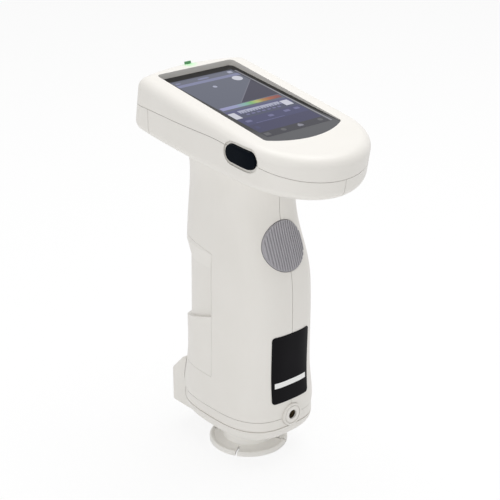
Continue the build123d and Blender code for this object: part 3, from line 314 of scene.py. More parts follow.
def glossy_flat(name, colour, roughness, ior=1.5, emission=None, strength=0.0):
    """A smooth glossy surface whose gloss has faint smears, with light of its own if it has any."""
    material, tree, output = new_material(name)
    smears = add_node(
        tree, "ShaderNodeTexNoise", {"Scale": 1 / SMEAR, "Detail": 3.0}, {"Vector": place_of(tree)}
    )
    gloss = add_node(
        tree, "ShaderNodeMapRange",
        {"To Min": max(roughness - SMEAR_SPREAD, SMOOTHEST_FLAT), "To Max": roughness + SMEAR_SPREAD},
        {"Value": smears.outputs["Fac"]},
    )
    settings = {"Base Color": srgb(colour), "IOR": ior}
    if emission:
        settings.update({"Emission Color": srgb(emission), "Emission Strength": strength})
    shader = add_node(tree, "ShaderNodeBsdfPrincipled", settings, {"Roughness": gloss.outputs[0]})
    tree.links.new(shader.outputs["BSDF"], output.inputs["Surface"])
    return material


COATED_IOR = 1.3
PRINTED_BLACK = "08080A"
# Painted reflection: the grey that the near border's base colour turns to.
PAINTED_REFLECTION_GREY = "424348"
NEAR_BORDER = (-42 * MM, -28 * MM)


def printed_glass():
    """Coated black glass whose near border has a painted reflection: a lighter grey base colour."""
    material = glossy_flat("cover_glass_printed_black", PRINTED_BLACK, 0.08, ior=COATED_IOR)
    tree = material.node_tree
    axes = add_node(tree, "ShaderNodeSeparateXYZ", {}, {"Vector": place_of(tree)})
    share = add_node(
        tree, "ShaderNodeMapRange",
        {"From Min": NEAR_BORDER[0], "From Max": NEAR_BORDER[1]}, {"Value": axes.outputs["Y"]},
    )
    # The base colour turns to the painted reflection grey towards the user's end.
    tone = add_node(
        tree, "ShaderNodeMix",
        {"data_type": "RGBA", MIX_FIRST: srgb(PAINTED_REFLECTION_GREY), MIX_SECOND: srgb(PRINTED_BLACK)},
        {0: share.outputs[0]},
    )
    tree.links.new(tone.outputs[MIXED], shader_of(material).inputs["Base Color"])
    return material


cover_glass = printed_glass()
print("cover glass:", cover_glass.name)

# %% [markdown]
# The lens inside is clear optical glass, which transmits. The status light is green acrylic lit from
# behind: most of what the eye sees is its own light, so its emission matters more than its surface. The
# boards have the fine weave of glass cloth under their green mask, and the flat cable is an amber film.

# %% Lens, light, boards and cable
def clear_glass(name, colour, ior):
    """Polished transmitting glass."""
    material, tree, output = new_material(name)
    shader = add_node(
        tree, "ShaderNodeBsdfPrincipled",
        {"Base Color": srgb(colour), "Roughness": 0.02, "IOR": ior, "Transmission Weight": 1.0},
    )
    tree.links.new(shader.outputs["BSDF"], output.inputs["Surface"])
    return material


display_panel = glossy_flat("display_panel_dark", "20223A", 0.15)
status_acrylic = glossy_flat("lit_acrylic_green", "3C6B45", 0.3, ior=1.49, emission="2E6B3C", strength=0.6)
lens_glass = clear_glass("optical_crown_glass", "F4FAFB", 1.52)
board_laminate = moulded("glass_epoxy_laminate_green", "1F5B38", "1B5232", 0.35, grain=0.6 * MM)
flat_cable = glossy_flat("polyimide_film_amber", "A9782F", 0.3)
print("lens, light, boards and cable made")

# %% [markdown]
# The rating plate is a black polyester film with one blank white field. The field could be a second
# film laid on the first, but print has no thickness that shows, so it is a change of colour. It is found
# from the height and the width on the plate, so it follows the curved grip.

# %% Rating plate film
LABEL_FIELD_LOW = 51.0 * MM
LABEL_FIELD_HIGH = 54.2 * MM
LABEL_FIELD_SIDE = 11.4 * MM
FILM_BLACK = "141316"
FIELD_WHITE = "EDEDEC"
FILM_GRAIN = 0.6 * MM
FILM_DEPTH = 0.01 * MM


def rating_film():
    """Black film with one blank white field."""
    material, tree, output = new_material("polyester_film_black")
    place = place_of(tree)
    axes = add_node(tree, "ShaderNodeSeparateXYZ", {}, {"Vector": place})
    aside = add_node(tree, "ShaderNodeMath", {"operation": "ABSOLUTE"}, {0: axes.outputs["X"]})
    tests = []
    for operation, limit, source in (
        ("GREATER_THAN", LABEL_FIELD_LOW, axes.outputs["Z"]),
        ("LESS_THAN", LABEL_FIELD_HIGH, axes.outputs["Z"]),
        ("LESS_THAN", LABEL_FIELD_SIDE, aside.outputs[0]),
    ):
        tests.append(add_node(tree, "ShaderNodeMath", {"operation": operation, 1: limit}, {0: source}))
    field = tests[0]
    for test in tests[1:]:
        field = add_node(
            tree, "ShaderNodeMath", {"operation": "MULTIPLY"}, {0: field.outputs[0], 1: test.outputs[0]}
        )
    tone = add_node(
        tree, "ShaderNodeMix",
        {"data_type": "RGBA", MIX_FIRST: srgb(FILM_BLACK), MIX_SECOND: srgb(FIELD_WHITE)},
        {0: field.outputs[0]},
    )
    grain = add_node(tree, "ShaderNodeTexNoise", {"Scale": 1 / FILM_GRAIN}, {"Vector": place})
    bump = add_node(
        tree, "ShaderNodeBump", {"Strength": 0.15, "Distance": FILM_DEPTH}, {"Height": grain.outputs["Fac"]}
    )
    shader = add_node(
        tree, "ShaderNodeBsdfPrincipled", {"Roughness": 0.4, "IOR": 1.5, "Specular IOR Level": 0.05},
        {"Base Color": tone.outputs[MIXED], "Normal": bump.outputs["Normal"]},
    )
    tree.links.new(shader.outputs["BSDF"], output.inputs["Surface"])
    return material


label_film = rating_film()
print("height of the plate's field in mm:", round((LABEL_FIELD_HIGH - LABEL_FIELD_LOW) / MM, 1))

# %% [markdown]
# Around the status light the plastic of the head looks green, because light from the lens creeps into
# it and comes out again nearby. A small lamp and real scattering could give that, slowly and with noise.
# So the glow is painted light: a pale green tint in the base colour, fading with the distance from the lens,
# which looks the same from every side.

# %% Plastic around the status light
GLOW_REACH = 6.0 * MM
GLOW_START = 1.0 * MM
GLOW_TINT = "A4EFA8"
GLOW_SHARE = 0.9


def glowing_housing():
    """The housing's plastic with a painted green glow around the status lens."""
    material = moulded("spark_eroded_ABS_lit", *HOUSING_TONES, 0.42)
    tree = material.node_tree
    colour = shader_of(material).inputs["Base Color"]
    plain = colour.links[0].from_socket
    low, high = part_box("status_lens")
    lens = ((low[0] + high[0]) / 2, (low[1] + high[1]) / 2, high[2])
    away = add_node(tree, "ShaderNodeVectorMath", {"operation": "DISTANCE", 1: lens}, {0: place_of(tree)})
    share = add_node(
        tree, "ShaderNodeMapRange",
        {"From Min": GLOW_START, "From Max": GLOW_REACH, "To Min": GLOW_SHARE, "To Max": 0.0},
        {"Value": away.outputs["Value"]},
    )
    tone = add_node(
        tree, "ShaderNodeMix",
        {"data_type": "RGBA", MIX_SECOND: srgb(GLOW_TINT)}, {0: share.outputs[0], MIX_FIRST: plain},
    )
    tree.links.new(tone.outputs[MIXED], colour)
    return material


housing_lit = glowing_housing()

# %% [markdown]
# Now each rigid piece gets its finish. The table goes from finish to pieces, because that is how a
# designer's colour and material chart reads. What the cell prints shows whether a piece was forgotten.

# %% Finish chart
FINISHES = {
    housing_lit: ("top_shell",),
    housing_abs: (
        "left_shell", "right_shell", "tail_cap", "grip_cover", "base_collar", "socket_block",
        "threaded_boss",
    ),
    nose_polycarbonate: ("measuring_nose",),
    foot_polycarbonate_painted_light: ("stabiliser",),
    button_elastomer: ("thumb_button",),
    key_abs: ("power_key",),
    flap_tpu: ("socket_flap",),
    silicone: ("button_sleeve",),
    cover_glass: ("display_glass",),
    display_panel: ("display_module",),
    status_acrylic: ("status_lens",),
    label_film: ("label_plate",),
    black_abs: ("buzzer", "switch_carrier", "measure_switch", "key_switch", "battery_tray"),
    board_laminate: ("head_board", "button_board", "key_board", "port_board", "sensor_board", "main_board"),
    zinc_steel: (
        "data_socket", "shell_screws", "base_screws", "head_screws", "display_screws", "sphere_screws",
    ),
    rolled_aluminium: ("display_bracket",),
    turned_brass: ("threaded_insert",),
    sphere_white: ("sphere_lower", "sphere_upper"),
    lamp_plastic: ("lamp_left", "lamp_right"),
    anodised_black: ("lens_barrel", "spectrometer_body", "spectrometer_lid"),
    lens_glass: ("collector_lens",),
    optical_mirror: ("fold_mirror", "concave_grating"),
    battery_film: ("battery_pack",),
    flat_cable: ("ribbon_cable",),
}


def finish_pieces():
    """Gives every rigid piece the material that the chart names."""
    done = set()
    for material, names in FINISHES.items():
        for name in names:
            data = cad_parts[name].data
            data.materials.clear()
            data.materials.append(material)
            done.add(name)
    missing = sorted(set(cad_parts) - done)
    print("finished pieces:", len(done), "without a finish:", missing)


finish_pieces()

# %% [markdown]
# The display is a liquid crystal panel bonded under the cover glass, and its picture is light, not paint.
# A picture could come from an image file, but this one is drawn: thin closed plates of one tone each,
# and every tone is a dark panel with light of its own. They lie on the glass, because the glass is a
# black surface here, and they are so thin that it doesn't show. The place on the glass is given in
# millimetres, u across and v away from the user, so the plates read like a drawing of the screen.

# %% Screen plane
SCREEN_HEIGHT = 206.2  # millimetres above the ground, at the middle of the glass
SCREEN_TILT = math.radians(7.8)


def on_screen(u, v, w):
    """The point that lies u, v millimetres from the screen's middle and w above the glass."""
    away = v * math.cos(SCREEN_TILT) - w * math.sin(SCREEN_TILT)
    up = SCREEN_HEIGHT + v * math.sin(SCREEN_TILT) + w * math.cos(SCREEN_TILT)
    return (u * MM, away * MM, up * MM)


print("middle of the glass:", [round(x, 4) for x in on_screen(0, 0, 0)])

# %% [markdown]
# The tones come in two groups: the bands of the background, and the things shown on them. They are
# written darker than they look, because the glossy front adds a pale reflection to them. The colour bar
# in the middle is the one place with many colours. It runs from violet to red as light does in the
# instrument's own spectrometer, so its material holds a ramp along the screen instead of one tone.

# %% Tones of the display
TONES = {
    "header": "53576A", "title": "727699", "field": "4E5366", "shade": "060032", "under": "303755",
    "band": "272A5B", "low": "1D1D4D", "row": "141427", "mark": "60608B", "faint": "41436F",
    "row_mark": "4D4D52", "white": "C7C8D4", "pale": "9FA2B8", "tick": "272D52", "edge": "636374",
    "lit_mark": "7E7E8B", "bezel": "84848D",
}
PANEL_GLOW = 0.9
SPECTRUM = (
    (0.00, "8C8BB8"), (0.26, "8B91B8"), (0.40, "77AAA0"), (0.50, "6FAE63"),
    (0.60, "ACB660"), (0.70, "A07730"), (0.82, "99491D"), (1.00, "772A34"),
)
SPECTRUM_SIDE = 20.6


def panel_tone(tone, colour):
    """A dark glossy panel that shines in one colour."""
    return glossy_flat(
        f"liquid_crystal_{tone}", PRINTED_BLACK, 0.12, ior=COATED_IOR, emission=colour, strength=PANEL_GLOW
    )


def spectrum_tone():
    """The colour bar: a ramp from violet to red across the screen."""
    material = panel_tone("spectrum", "000000")
    tree = material.node_tree
    axes = add_node(tree, "ShaderNodeSeparateXYZ", {}, {"Vector": place_of(tree)})
    reach = SPECTRUM_SIDE * MM
    share = add_node(
        tree, "ShaderNodeMapRange", {"From Min": -reach, "From Max": reach}, {"Value": axes.outputs["X"]}
    )
    ramp = add_node(tree, "ShaderNodeValToRGB", {}, {0: share.outputs[0]})
    stops = ramp.color_ramp.elements
    while len(stops) < len(SPECTRUM):
        stops.new(0.5)
    for stop, (position, colour) in zip(stops, SPECTRUM):
        stop.position = position
        stop.color = srgb(colour)
    tree.links.new(ramp.outputs["Color"], shader_of(material).inputs["Emission Color"])
    return material


display_tones = {tone: panel_tone(tone, colour) for tone, colour in TONES.items()}
display_tones["spectrum"] = spectrum_tone()
print("display tones:", len(display_tones))

# %% [markdown]
# Each plate is a prism: a bottom, a top and a wall for each side. A single flat face would do for the
# eye, but a closed plate is a solid piece and is exported as one. Plates that overlap must not end at
# the same height, because two faces in one plane flicker. Three levels, in millimetres, are enough:
# background, things on it, and marks on those.

# %% Plates of the picture
LEVELS = {"ground": 0.02, "thing": 0.035, "mark": 0.05}
picture = {"points": [], "faces": [], "tones": []}


def plate(outline, tone, level="ground"):
    """Adds a thin closed plate; its outline runs anticlockwise when seen from above."""
    start, count = len(picture["points"]), len(outline)
    for height in (0.0, LEVELS[level]):
        picture["points"] += [on_screen(u, v, height) for u, v in outline]
    bottom = [start + step for step in reversed(range(count))]
    top = [start + count + step for step in range(count)]
    walls = []
    for step in range(count):
        after = (step + 1) % count
        walls.append([start + step, start + after, start + count + after, start + count + step])
    picture["faces"] += [bottom, top] + walls
    picture["tones"] += [tone] * (count + 2)


def box_outline(left, right, near, far):
    """Corners of an upright rectangle."""
    return [(left, near), (right, near), (right, far), (left, far)]


def round_outline(u, v, half_width, half_height, corner, steps=5):
    """A rectangle with round corners, or a disc where the corners meet."""
    points = []
    for side_u, side_v, start in ((1, -1, 270), (1, 1, 0), (-1, 1, 90), (-1, -1, 180)):
        for step in range(steps + 1):
            angle = math.radians(start + 90 * step / steps)
            points.append((
                u + side_u * (half_width - corner) + corner * math.cos(angle),
                v + side_v * (half_height - corner) + corner * math.sin(angle),
            ))
    return points


# %% [markdown]
# The layout follows the screen of such an instrument while it shows a result: a header, a title line, the
# field with a chart, the colour bar with its scale, a row of values and a row of keys, all as plain
# marks. The bands come first and fill the screen from the near end to the far one.

# %% Bands of the picture
SCREEN_SIDE = 21.7
BANDS = (
    ("row", -40.4, -34.2), ("low", -34.2, -24.6), ("band", -24.6, -16.2), ("under", -16.2, -11.4),
    ("faint", -11.4, -5.6), ("field", -5.6, 31.8), ("title", 31.8, 34.8), ("header", 34.8, 40.4),
)
for tone, near, far in BANDS:
    plate(box_outline(-SCREEN_SIDE, SCREEN_SIDE, near, far), tone)
print("bands:", len(BANDS))

# %% [markdown]
# On the bands lie the chart, with a shaded corner and two round keys, then the colour bar and its scale.
# The ticks of the scale stand at even steps with every fifth one longer, so a loop draws them.

# %% Chart, colour bar and scale
CHART_LEFT, CHART_NEAR, CHART_FAR = -5.2, 0.4, 24.2
SCALE_NEAR, SCALE_FAR = -11.0, -7.5
FIRST_TICK, TICK_STEP, TICKS, TICK_HALF = -13.4, 1.9, 15, 0.25
SHORT_TICK, LONG_TICK = 1.3, 2.2
FIRST_VALUE, VALUE_STEP, VALUES = -11.4, 3.6, 7

near_left, far_right = (CHART_LEFT, CHART_NEAR), (SCREEN_SIDE, CHART_FAR)
plate([near_left, (SCREEN_SIDE, CHART_NEAR), far_right], "shade", "thing")
plate([near_left, (-4.4, CHART_NEAR), (SCREEN_SIDE, 23.5), far_right], "edge", "mark")
plate(round_outline(16.3, 28.6, 3.1, 3.1, 3.05), "white", "mark")
plate(round_outline(-2.8, 24.7, 1.3, 1.3, 1.25), "pale", "thing")
plate(box_outline(-SPECTRUM_SIDE, SPECTRUM_SIDE, -3.8, -0.5), "spectrum", "mark")
plate(box_outline(-14.4, 14.0, SCALE_NEAR, SCALE_FAR), "pale", "thing")
for index in range(TICKS):
    middle = FIRST_TICK + TICK_STEP * index
    length = LONG_TICK if index % 5 == 2 else SHORT_TICK
    tick = box_outline(middle - TICK_HALF, middle + TICK_HALF, SCALE_NEAR, SCALE_NEAR + length)
    plate(tick, "tick", "mark")
for index in range(VALUES):
    plate(round_outline(FIRST_VALUE + VALUE_STEP * index, -13.2, 1.1, 0.7, 0.25), "mark", "thing")
print("ticks:", TICKS, "values:", VALUES)

# %% [markdown]
# The rest are mostly small round or rounded marks. Each could be a call of its own, but they differ only
# in numbers, so the numbers stand in tables: middle, half sizes, corner and tone. Three marks of other
# shapes come between them: a line, the home key and a light line along the right-hand edge. That light
# line is painted light: a glowing strip for the light on the panel's metal frame, which gives no light.

# %% Marks and keys
SIDE_TILES = ((-19.3, -12.1, 2.2, 3.7, 0.4, "white"), (17.5, -10.9, 2.7, 3.1, 0.4, "white"))
VALUE_KEYS = tuple(
    (u, v, half, 1.15, 0.5, "mark")
    for u, v, half in ((-17.0, -20.3, 1.9), (-1.6, -20.0, 1.7), (10.2, -19.3, 2.0), (17.2, -19.2, 1.8))
)
LEFT_KEYS = (
    (-18.2, -28.6, 1.2, 1.6, 0.5, "band"), (-19.1, -37.2, 1.7, 1.5, 0.4, "row_mark"),
    (-7.9, -37.0, 1.5, 1.5, 1.45, "row_mark"),
)
RIGHT_MARKS = ((17.9, -36.8, 1.5, 1.5, 1.45, "row_mark"), (18.2, 37.5, 1.5, 1.3, 0.5, "pale"))
HEADER_MARKS = ((-1.2, 37.0, 3.6, 0.9, 0.4, "title"), (-18.6, 37.0, 1.6, 0.8, 0.4, "title"))
HOME_KEY = [(2.0, -38.2), (5.4, -38.2), (5.4, -36.6), (3.7, -34.9), (2.0, -36.6)]


def round_plates(rows):
    """A plate for each row of a table of rounded marks."""
    for *sizes, tone in rows:
        plate(round_outline(*sizes), tone, "thing")


round_plates(SIDE_TILES + VALUE_KEYS)
plate(box_outline(-15.0, 4.6, -24.1, -23.7), "mark", "mark")
round_plates(LEFT_KEYS)
plate(HOME_KEY, "lit_mark", "thing")
round_plates(RIGHT_MARKS)
# Painted light: a glowing strip for the light on the metal frame at the right-hand edge.
plate(box_outline(22.2, 23.4, -40.4, 38.5), "bezel", "thing")
round_plates(HEADER_MARKS)
print("plates' faces:", len(picture["faces"]))

# %% [markdown]
# All plates become one mesh, since they move as one and an object for each would clutter the scene.
# Each face remembers its tone by the number of its material slot.

# %% Display picture
def display_picture():
    """One object with every plate and one material slot for each tone."""
    mesh = bpy.data.meshes.new("display_picture")
    mesh.from_pydata(picture["points"], [], picture["faces"])
    order = list(display_tones)
    for tone in order:
        mesh.materials.append(display_tones[tone])
    mesh.polygons.foreach_set("material_index", [order.index(tone) for tone in picture["tones"]])
    mesh.update()
    piece = add_object("display_picture", mesh)
    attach(piece, "housing")
    print("display picture:", len(mesh.polygons), "faces in", len(order), "tones")


display_picture()

# %% [markdown]
# The housing is held together by small pan-head screws with a cross recess. Twelve of them share one
# shape, so one Geometry Nodes tree makes them: it gets a point for each screw seat and puts a screw on
# it. A tree keeps its sizes as named inputs. The modifier knows them by an identifier, so a small
# function looks it up. The result is turned into a plain mesh, because an export drops instances.

# %% Tree helpers
def new_tree(name, sizes):
    """An empty tree with points, a turn, named sizes and a finish as its inputs."""
    tree = bpy.data.node_groups.new(name, "GeometryNodeTree")
    tree.interface.new_socket("Points", in_out="INPUT", socket_type="NodeSocketGeometry")
    tree.interface.new_socket("Turn", in_out="INPUT", socket_type="NodeSocketVector")
    for label, value in sizes.items():
        tree.interface.new_socket(label, in_out="INPUT", socket_type="NodeSocketFloat").default_value = value
    tree.interface.new_socket("Finish", in_out="INPUT", socket_type="NodeSocketMaterial")
    tree.interface.new_socket("Mesh", in_out="OUTPUT", socket_type="NodeSocketGeometry")
    given = add_node(tree, "NodeGroupInput").outputs
    return tree, given, add_node(tree, "NodeGroupOutput")


def close_tree(tree, given, result, shape):
    """Puts the shape on every point, turned, real and finished."""
    turn = add_node(tree, "FunctionNodeEulerToRotation", {}, {0: given["Turn"]})
    spread = add_node(
        tree, "GeometryNodeInstanceOnPoints", {},
        {"Points": given["Points"], "Instance": shape, "Rotation": turn.outputs[0]},
    )
    real = add_node(tree, "GeometryNodeRealizeInstances", {}, {0: spread.outputs[0]})
    done = add_node(
        tree, "GeometryNodeSetMaterial", {}, {"Geometry": real.outputs[0], "Material": given["Finish"]}
    )
    tree.links.new(done.outputs[0], result.inputs[0])


def grow(name, tree, points, values):
    """Runs a tree on a few points and keeps the result as a plain mesh object."""
    cloud = bpy.data.meshes.new(name + "_seats")
    cloud.from_pydata([tuple(x * MM for x in point) for point in points], [], [])
    seed = add_object(name + "_seats", cloud)
    modifier = seed.modifiers.new("tree", "NODES")
    modifier.node_group = tree
    for socket in tree.interface.items_tree:
        if socket.in_out == "INPUT" and socket.name in values:
            modifier[socket.identifier] = values[socket.name]
    graph = bpy.context.evaluated_depsgraph_get()
    mesh = bpy.data.meshes.new_from_object(seed.evaluated_get(graph))
    seed.modifiers.remove(modifier)
    bpy.data.objects.remove(seed)
    print(name, "faces:", len(mesh.polygons))
    return add_object(name, mesh)


print("tree helpers ready")

# %% [markdown]
# The head of a pan-head screw is a low cone with its tip cut off, and the recess is two crossed bars taken
# out of it. A boolean gives the sharp inner corners of a punched recess, which a bump map would not.
# The head's top is narrower than its foot by a fixed share, and the shank hangs below the seat.

# %% Screw tree
HEAD_TAPER = 0.8
HEAD_SIDES = 28
SHANK_SIDES = 16


def screw_tree():
    """A pan-head screw with a cross recess: the head points up from the seat, the shank down."""
    sizes = {
        "Head Radius": 2.5 * MM, "Head Height": 1.6 * MM, "Shank Radius": 1.2 * MM, "Shank Length": 15 * MM,
        "Recess Length": 2.7 * MM, "Recess Width": 0.6 * MM,
    }
    tree, given, result = new_tree("cross_recess_screw", sizes)
    top = add_node(
        tree, "ShaderNodeMath", {"operation": "MULTIPLY", 1: HEAD_TAPER}, {0: given["Head Radius"]}
    )
    head = add_node(
        tree, "GeometryNodeMeshCone", {"Vertices": HEAD_SIDES},
        {"Radius Top": top.outputs[0], "Radius Bottom": given["Head Radius"], "Depth": given["Head Height"]},
    )
    lift = add_node(tree, "ShaderNodeCombineXYZ", {}, {"Z": given["Head Height"]})
    cut = add_node(tree, "GeometryNodeMeshBoolean", {"operation": "DIFFERENCE"}, {"Mesh 1": head.outputs[0]})
    for along, across in (("Recess Length", "Recess Width"), ("Recess Width", "Recess Length")):
        size = add_node(
            tree, "ShaderNodeCombineXYZ", {},
            {"X": given[along], "Y": given[across], "Z": given["Head Height"]},
        )
        bar = add_node(tree, "GeometryNodeMeshCube", {}, {"Size": size.outputs[0]})
        raised = add_node(
            tree, "GeometryNodeTransform", {}, {"Geometry": bar.outputs[0], "Translation": lift.outputs[0]}
        )
        tree.links.new(raised.outputs[0], cut.inputs["Mesh 2"])
    shank = add_node(
        tree, "GeometryNodeMeshCylinder", {"Vertices": SHANK_SIDES},
        {"Radius": given["Shank Radius"], "Depth": given["Shank Length"]},
    )
    half = add_node(
        tree, "ShaderNodeMath", {"operation": "MULTIPLY", 1: -0.5}, {0: given["Shank Length"]}
    )
    drop = add_node(tree, "ShaderNodeCombineXYZ", {}, {"Z": half.outputs[0]})
    lowered = add_node(
        tree, "GeometryNodeTransform", {}, {"Geometry": shank.outputs[0], "Translation": drop.outputs[0]}
    )
    whole = add_node(tree, "GeometryNodeJoinGeometry")
    for part in (cut, lowered):
        tree.links.new(part.outputs[0], whole.inputs[0])
    close_tree(tree, given, result, whole.outputs[0])
    return tree


screws = screw_tree()
print("nodes in the screw tree:", len(screws.nodes))

# %% [markdown]
# Three sets of screws use the tree: four that pull the two grip shells together from the right-hand side,
# four under the base and four under the head. A set's turn points its heads outwards, and the length of
# its shanks follows how deep the bosses are. Seats and lengths are in millimetres, as on a drawing, and
# each set takes the place of the plain screws of the engineer's model.

# %% Screw sets
HEADS_DOWN = (math.pi, 0.0, 0.0)
HEADS_RIGHT = (0.0, math.pi / 2, 0.0)
SHELL_SEATS = ((8.0, -28.5, 67.0), (8.0, -28.5, 104.0), (8.0, 22.0, 150.0), (8.0, 28.0, 45.6))
BASE_SEATS = tuple((x, y, 20.0) for x in (-14.0, 14.0) for y in (-29.8, 30.8))
HEAD_SEATS = tuple((x, y, z) for x in (-31.2, 31.2) for y, z in ((-22.0, 181.643), (34.0, 187.893)))
SCREW_SETS = {
    "shell_screws": (SHELL_SEATS, HEADS_RIGHT, 15.0),
    "base_screws": (BASE_SEATS, HEADS_DOWN, 18.65),
    "head_screws": (HEAD_SEATS, HEADS_DOWN, 19.5),
}
for node, (seats, turn, length) in SCREW_SETS.items():
    values = {"Turn": turn, "Shank Length": length * MM, "Finish": zinc_steel}
    piece = grow(node + "_recessed", screws, seats, values)
    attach(piece, "housing")
    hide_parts(node)

# %% [markdown]
# The boss low on the front takes the screw of a camera stand. Behind its small hole sits a brass insert
# with a 1/4 inch thread: 20 turns to the inch, so one turn every 1.27 mm. The thread follows a path, a
# helix, so the tree sweeps a small round along a spiral and lays it into a plain tube. Its crests stand
# at the thread's inner radius, where the engineer's model has the bore. The spiral is a little shorter
# than the tube, so that the round's ends stay inside.

# %% Thread tree
THREAD_PITCH = 1.27
THREAD_ENDS = 1.1
INSERT_LENGTH = 10.0
TUBE_SIDES = 64


def insert_tree():
    """A brass tube that stands upright, with a helical crest inside."""
    sizes = {
        "Outer Radius": 3.85 * MM, "Root Radius": 3.2 * MM, "Path Radius": 3.1 * MM, "Crest Radius": 0.5 * MM,
        "Length": INSERT_LENGTH * MM, "Turns": (INSERT_LENGTH - THREAD_ENDS) / THREAD_PITCH,
    }
    tree, given, result = new_tree("stand_thread_insert", sizes)
    tube = add_node(tree, "GeometryNodeMeshBoolean", {"operation": "DIFFERENCE"})
    for radius, target, stretch in (("Outer Radius", "Mesh 1", 1.0), ("Root Radius", "Mesh 2", 1.2)):
        bar = add_node(
            tree, "GeometryNodeMeshCylinder", {"Vertices": TUBE_SIDES},
            {"Radius": given[radius], "Depth": given["Length"]},
        )
        sized = add_node(
            tree, "GeometryNodeTransform", {"Scale": (1, 1, stretch)}, {"Geometry": bar.outputs[0]}
        )
        tree.links.new(sized.outputs[0], tube.inputs[target])
    rise = add_node(
        tree, "ShaderNodeMath", {"operation": "SUBTRACT", 1: THREAD_ENDS * MM}, {0: given["Length"]}
    )
    half = add_node(tree, "ShaderNodeMath", {"operation": "MULTIPLY", 1: -0.5}, {0: rise.outputs[0]})
    start = add_node(tree, "ShaderNodeCombineXYZ", {}, {"Z": half.outputs[0]})
    path = add_node(
        tree, "GeometryNodeCurveSpiral", {"Resolution": 40},
        {
            "Rotations": given["Turns"], "Height": rise.outputs[0],
            "Start Radius": given["Path Radius"], "End Radius": given["Path Radius"],
        },
    )
    placed = add_node(
        tree, "GeometryNodeTransform", {}, {"Geometry": path.outputs[0], "Translation": start.outputs[0]}
    )
    round_wire = add_node(
        tree, "GeometryNodeCurvePrimitiveCircle", {"Resolution": 8}, {"Radius": given["Crest Radius"]}
    )
    crest = add_node(
        tree, "GeometryNodeCurveToMesh", {"Fill Caps": True},
        {"Curve": placed.outputs[0], "Profile Curve": round_wire.outputs[0]},
    )
    whole = add_node(tree, "GeometryNodeJoinGeometry")
    for part in (tube, crest):
        tree.links.new(part.outputs[0], whole.inputs[0])
    close_tree(tree, given, result, whole.outputs[0])
    return tree


insert_with_thread = insert_tree()
print("nodes in the thread tree:", len(insert_with_thread.nodes))

# %% [markdown]
# The tree builds the insert standing up, and its turn lays it along the instrument's depth, in the boss.
# It takes the place of the plain tube of the engineer's model, which is no longer shown.

# %% Stand insert
INSERT_MIDDLE = (0.0, -32.2, 32.0)
ALONG_DEPTH = (math.pi / 2, 0.0, 0.0)

values = {"Turn": ALONG_DEPTH, "Finish": turned_brass}
stand_insert = grow("stand_thread_insert", insert_with_thread, [INSERT_MIDDLE], values)
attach(stand_insert, "housing")
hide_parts("threaded_insert")

# %% [markdown]
# Behind the measuring button sits a silicone sleeve that pushes it back. The engineer's model has a plain
# cone there; the real one is a thin bellows with three soft waves, which is why it can shorten. Its
# profile is a closed loop, up the outside and down the inside, with a sine for the waves.

# %% Sleeve profile
SLEEVE_FOOT = Vector((0.0, -17.813, 128.338)) * MM
SLEEVE_TOP = Vector((0.0, -25.836, 131.147)) * MM
SLEEVE_RADII = (6.9, 5.1)  # millimetres, as are the wall and the wave
SLEEVE_HALF_WALL = 0.35
SLEEVE_WAVE = 0.12
SLEEVE_WAVES = 3
SLEEVE_STEPS = 24


def sleeve_profile():
    """Radius and share of the height, up the outside and down the inside."""
    outside, inside = [], []
    for step in range(SLEEVE_STEPS + 1):
        share = step / SLEEVE_STEPS
        middle = SLEEVE_RADII[0] + (SLEEVE_RADII[1] - SLEEVE_RADII[0]) * share
        middle += SLEEVE_WAVE * math.sin(2 * math.pi * SLEEVE_WAVES * share)
        outside.append((middle + SLEEVE_HALF_WALL, share))
        inside.append((middle - SLEEVE_HALF_WALL, share))
    return outside + inside[::-1]


print("points in the sleeve's profile:", len(sleeve_profile()))

# %% [markdown]
# The profile is turned around the button's own axis. A Screw modifier could turn it too, but mesh code
# closes the ring without doubled points.

# %% Button sleeve
SLEEVE_SIDES = 48


def button_bellows():
    """The profile turned around the button's axis, as one closed skin."""
    rise = SLEEVE_TOP - SLEEVE_FOOT
    across = Vector((1, 0, 0))
    other = rise.normalized().cross(across)
    profile = sleeve_profile()
    shape = bmesh.new()
    rings = []
    for turn in range(SLEEVE_SIDES):
        angle = 2 * math.pi * turn / SLEEVE_SIDES
        out = across * math.cos(angle) + other * math.sin(angle)
        points = [SLEEVE_FOOT + rise * share + out * radius * MM for radius, share in profile]
        rings.append([shape.verts.new(point) for point in points])
    for turn in range(SLEEVE_SIDES):
        first, second = rings[turn], rings[(turn + 1) % SLEEVE_SIDES]
        for step in range(len(profile)):
            after = (step + 1) % len(profile)
            shape.faces.new((first[step], second[step], second[after], first[after]))
    bmesh.ops.recalc_face_normals(shape, faces=shape.faces)
    mesh = bpy.data.meshes.new("button_bellows")
    shape.to_mesh(mesh)
    shape.free()
    mesh.shade_smooth()
    mesh.materials.append(silicone)
    piece = add_object("button_bellows", mesh)
    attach(piece, "housing")
    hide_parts("button_sleeve")
    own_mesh(piece)
    print("sleeve faces:", len(mesh.polygons))


button_bellows()

# %% [markdown]
# A studio is a pale floor, a pale surround and large soft lamps. The background has to be white, while
# the light on the object stays plain. More light would whiten both, so the floor and the world look at
# what each ray is for instead: a ray from the camera, off a glossy surface or through glass sees white,
# and a ray that gathers light for a surface sees the true level.

# %% White for the eye
PLAIN_WHITE = (1, 1, 1, 1)


def shown_rays(tree):
    """1 for what the camera sees directly, in a reflection or through glass, and 0 for plain light."""
    path = add_node(tree, "ShaderNodeLightPath")
    seen = path.outputs["Is Camera Ray"]
    for ray in ("Is Transmission Ray", "Is Glossy Ray"):
        either = add_node(tree, "ShaderNodeMath", {"operation": "MAXIMUM"}, {0: seen, 1: path.outputs[ray]})
        seen = either.outputs[0]
    return seen


print("white for camera, transmission and glossy rays")

# %% [markdown]
# The floor is a large painted board. A paper sweep that curves up behind would hide its far edge as well,
# but a flat board this wide has its edge out of sight from the photograph's place. It is mostly white to
# the eye, and the rest is a real surface, so the instrument keeps its soft shadow.

# %% Floor
FLOOR_SIZE = 8.0
FLOOR_WHITE = 0.85


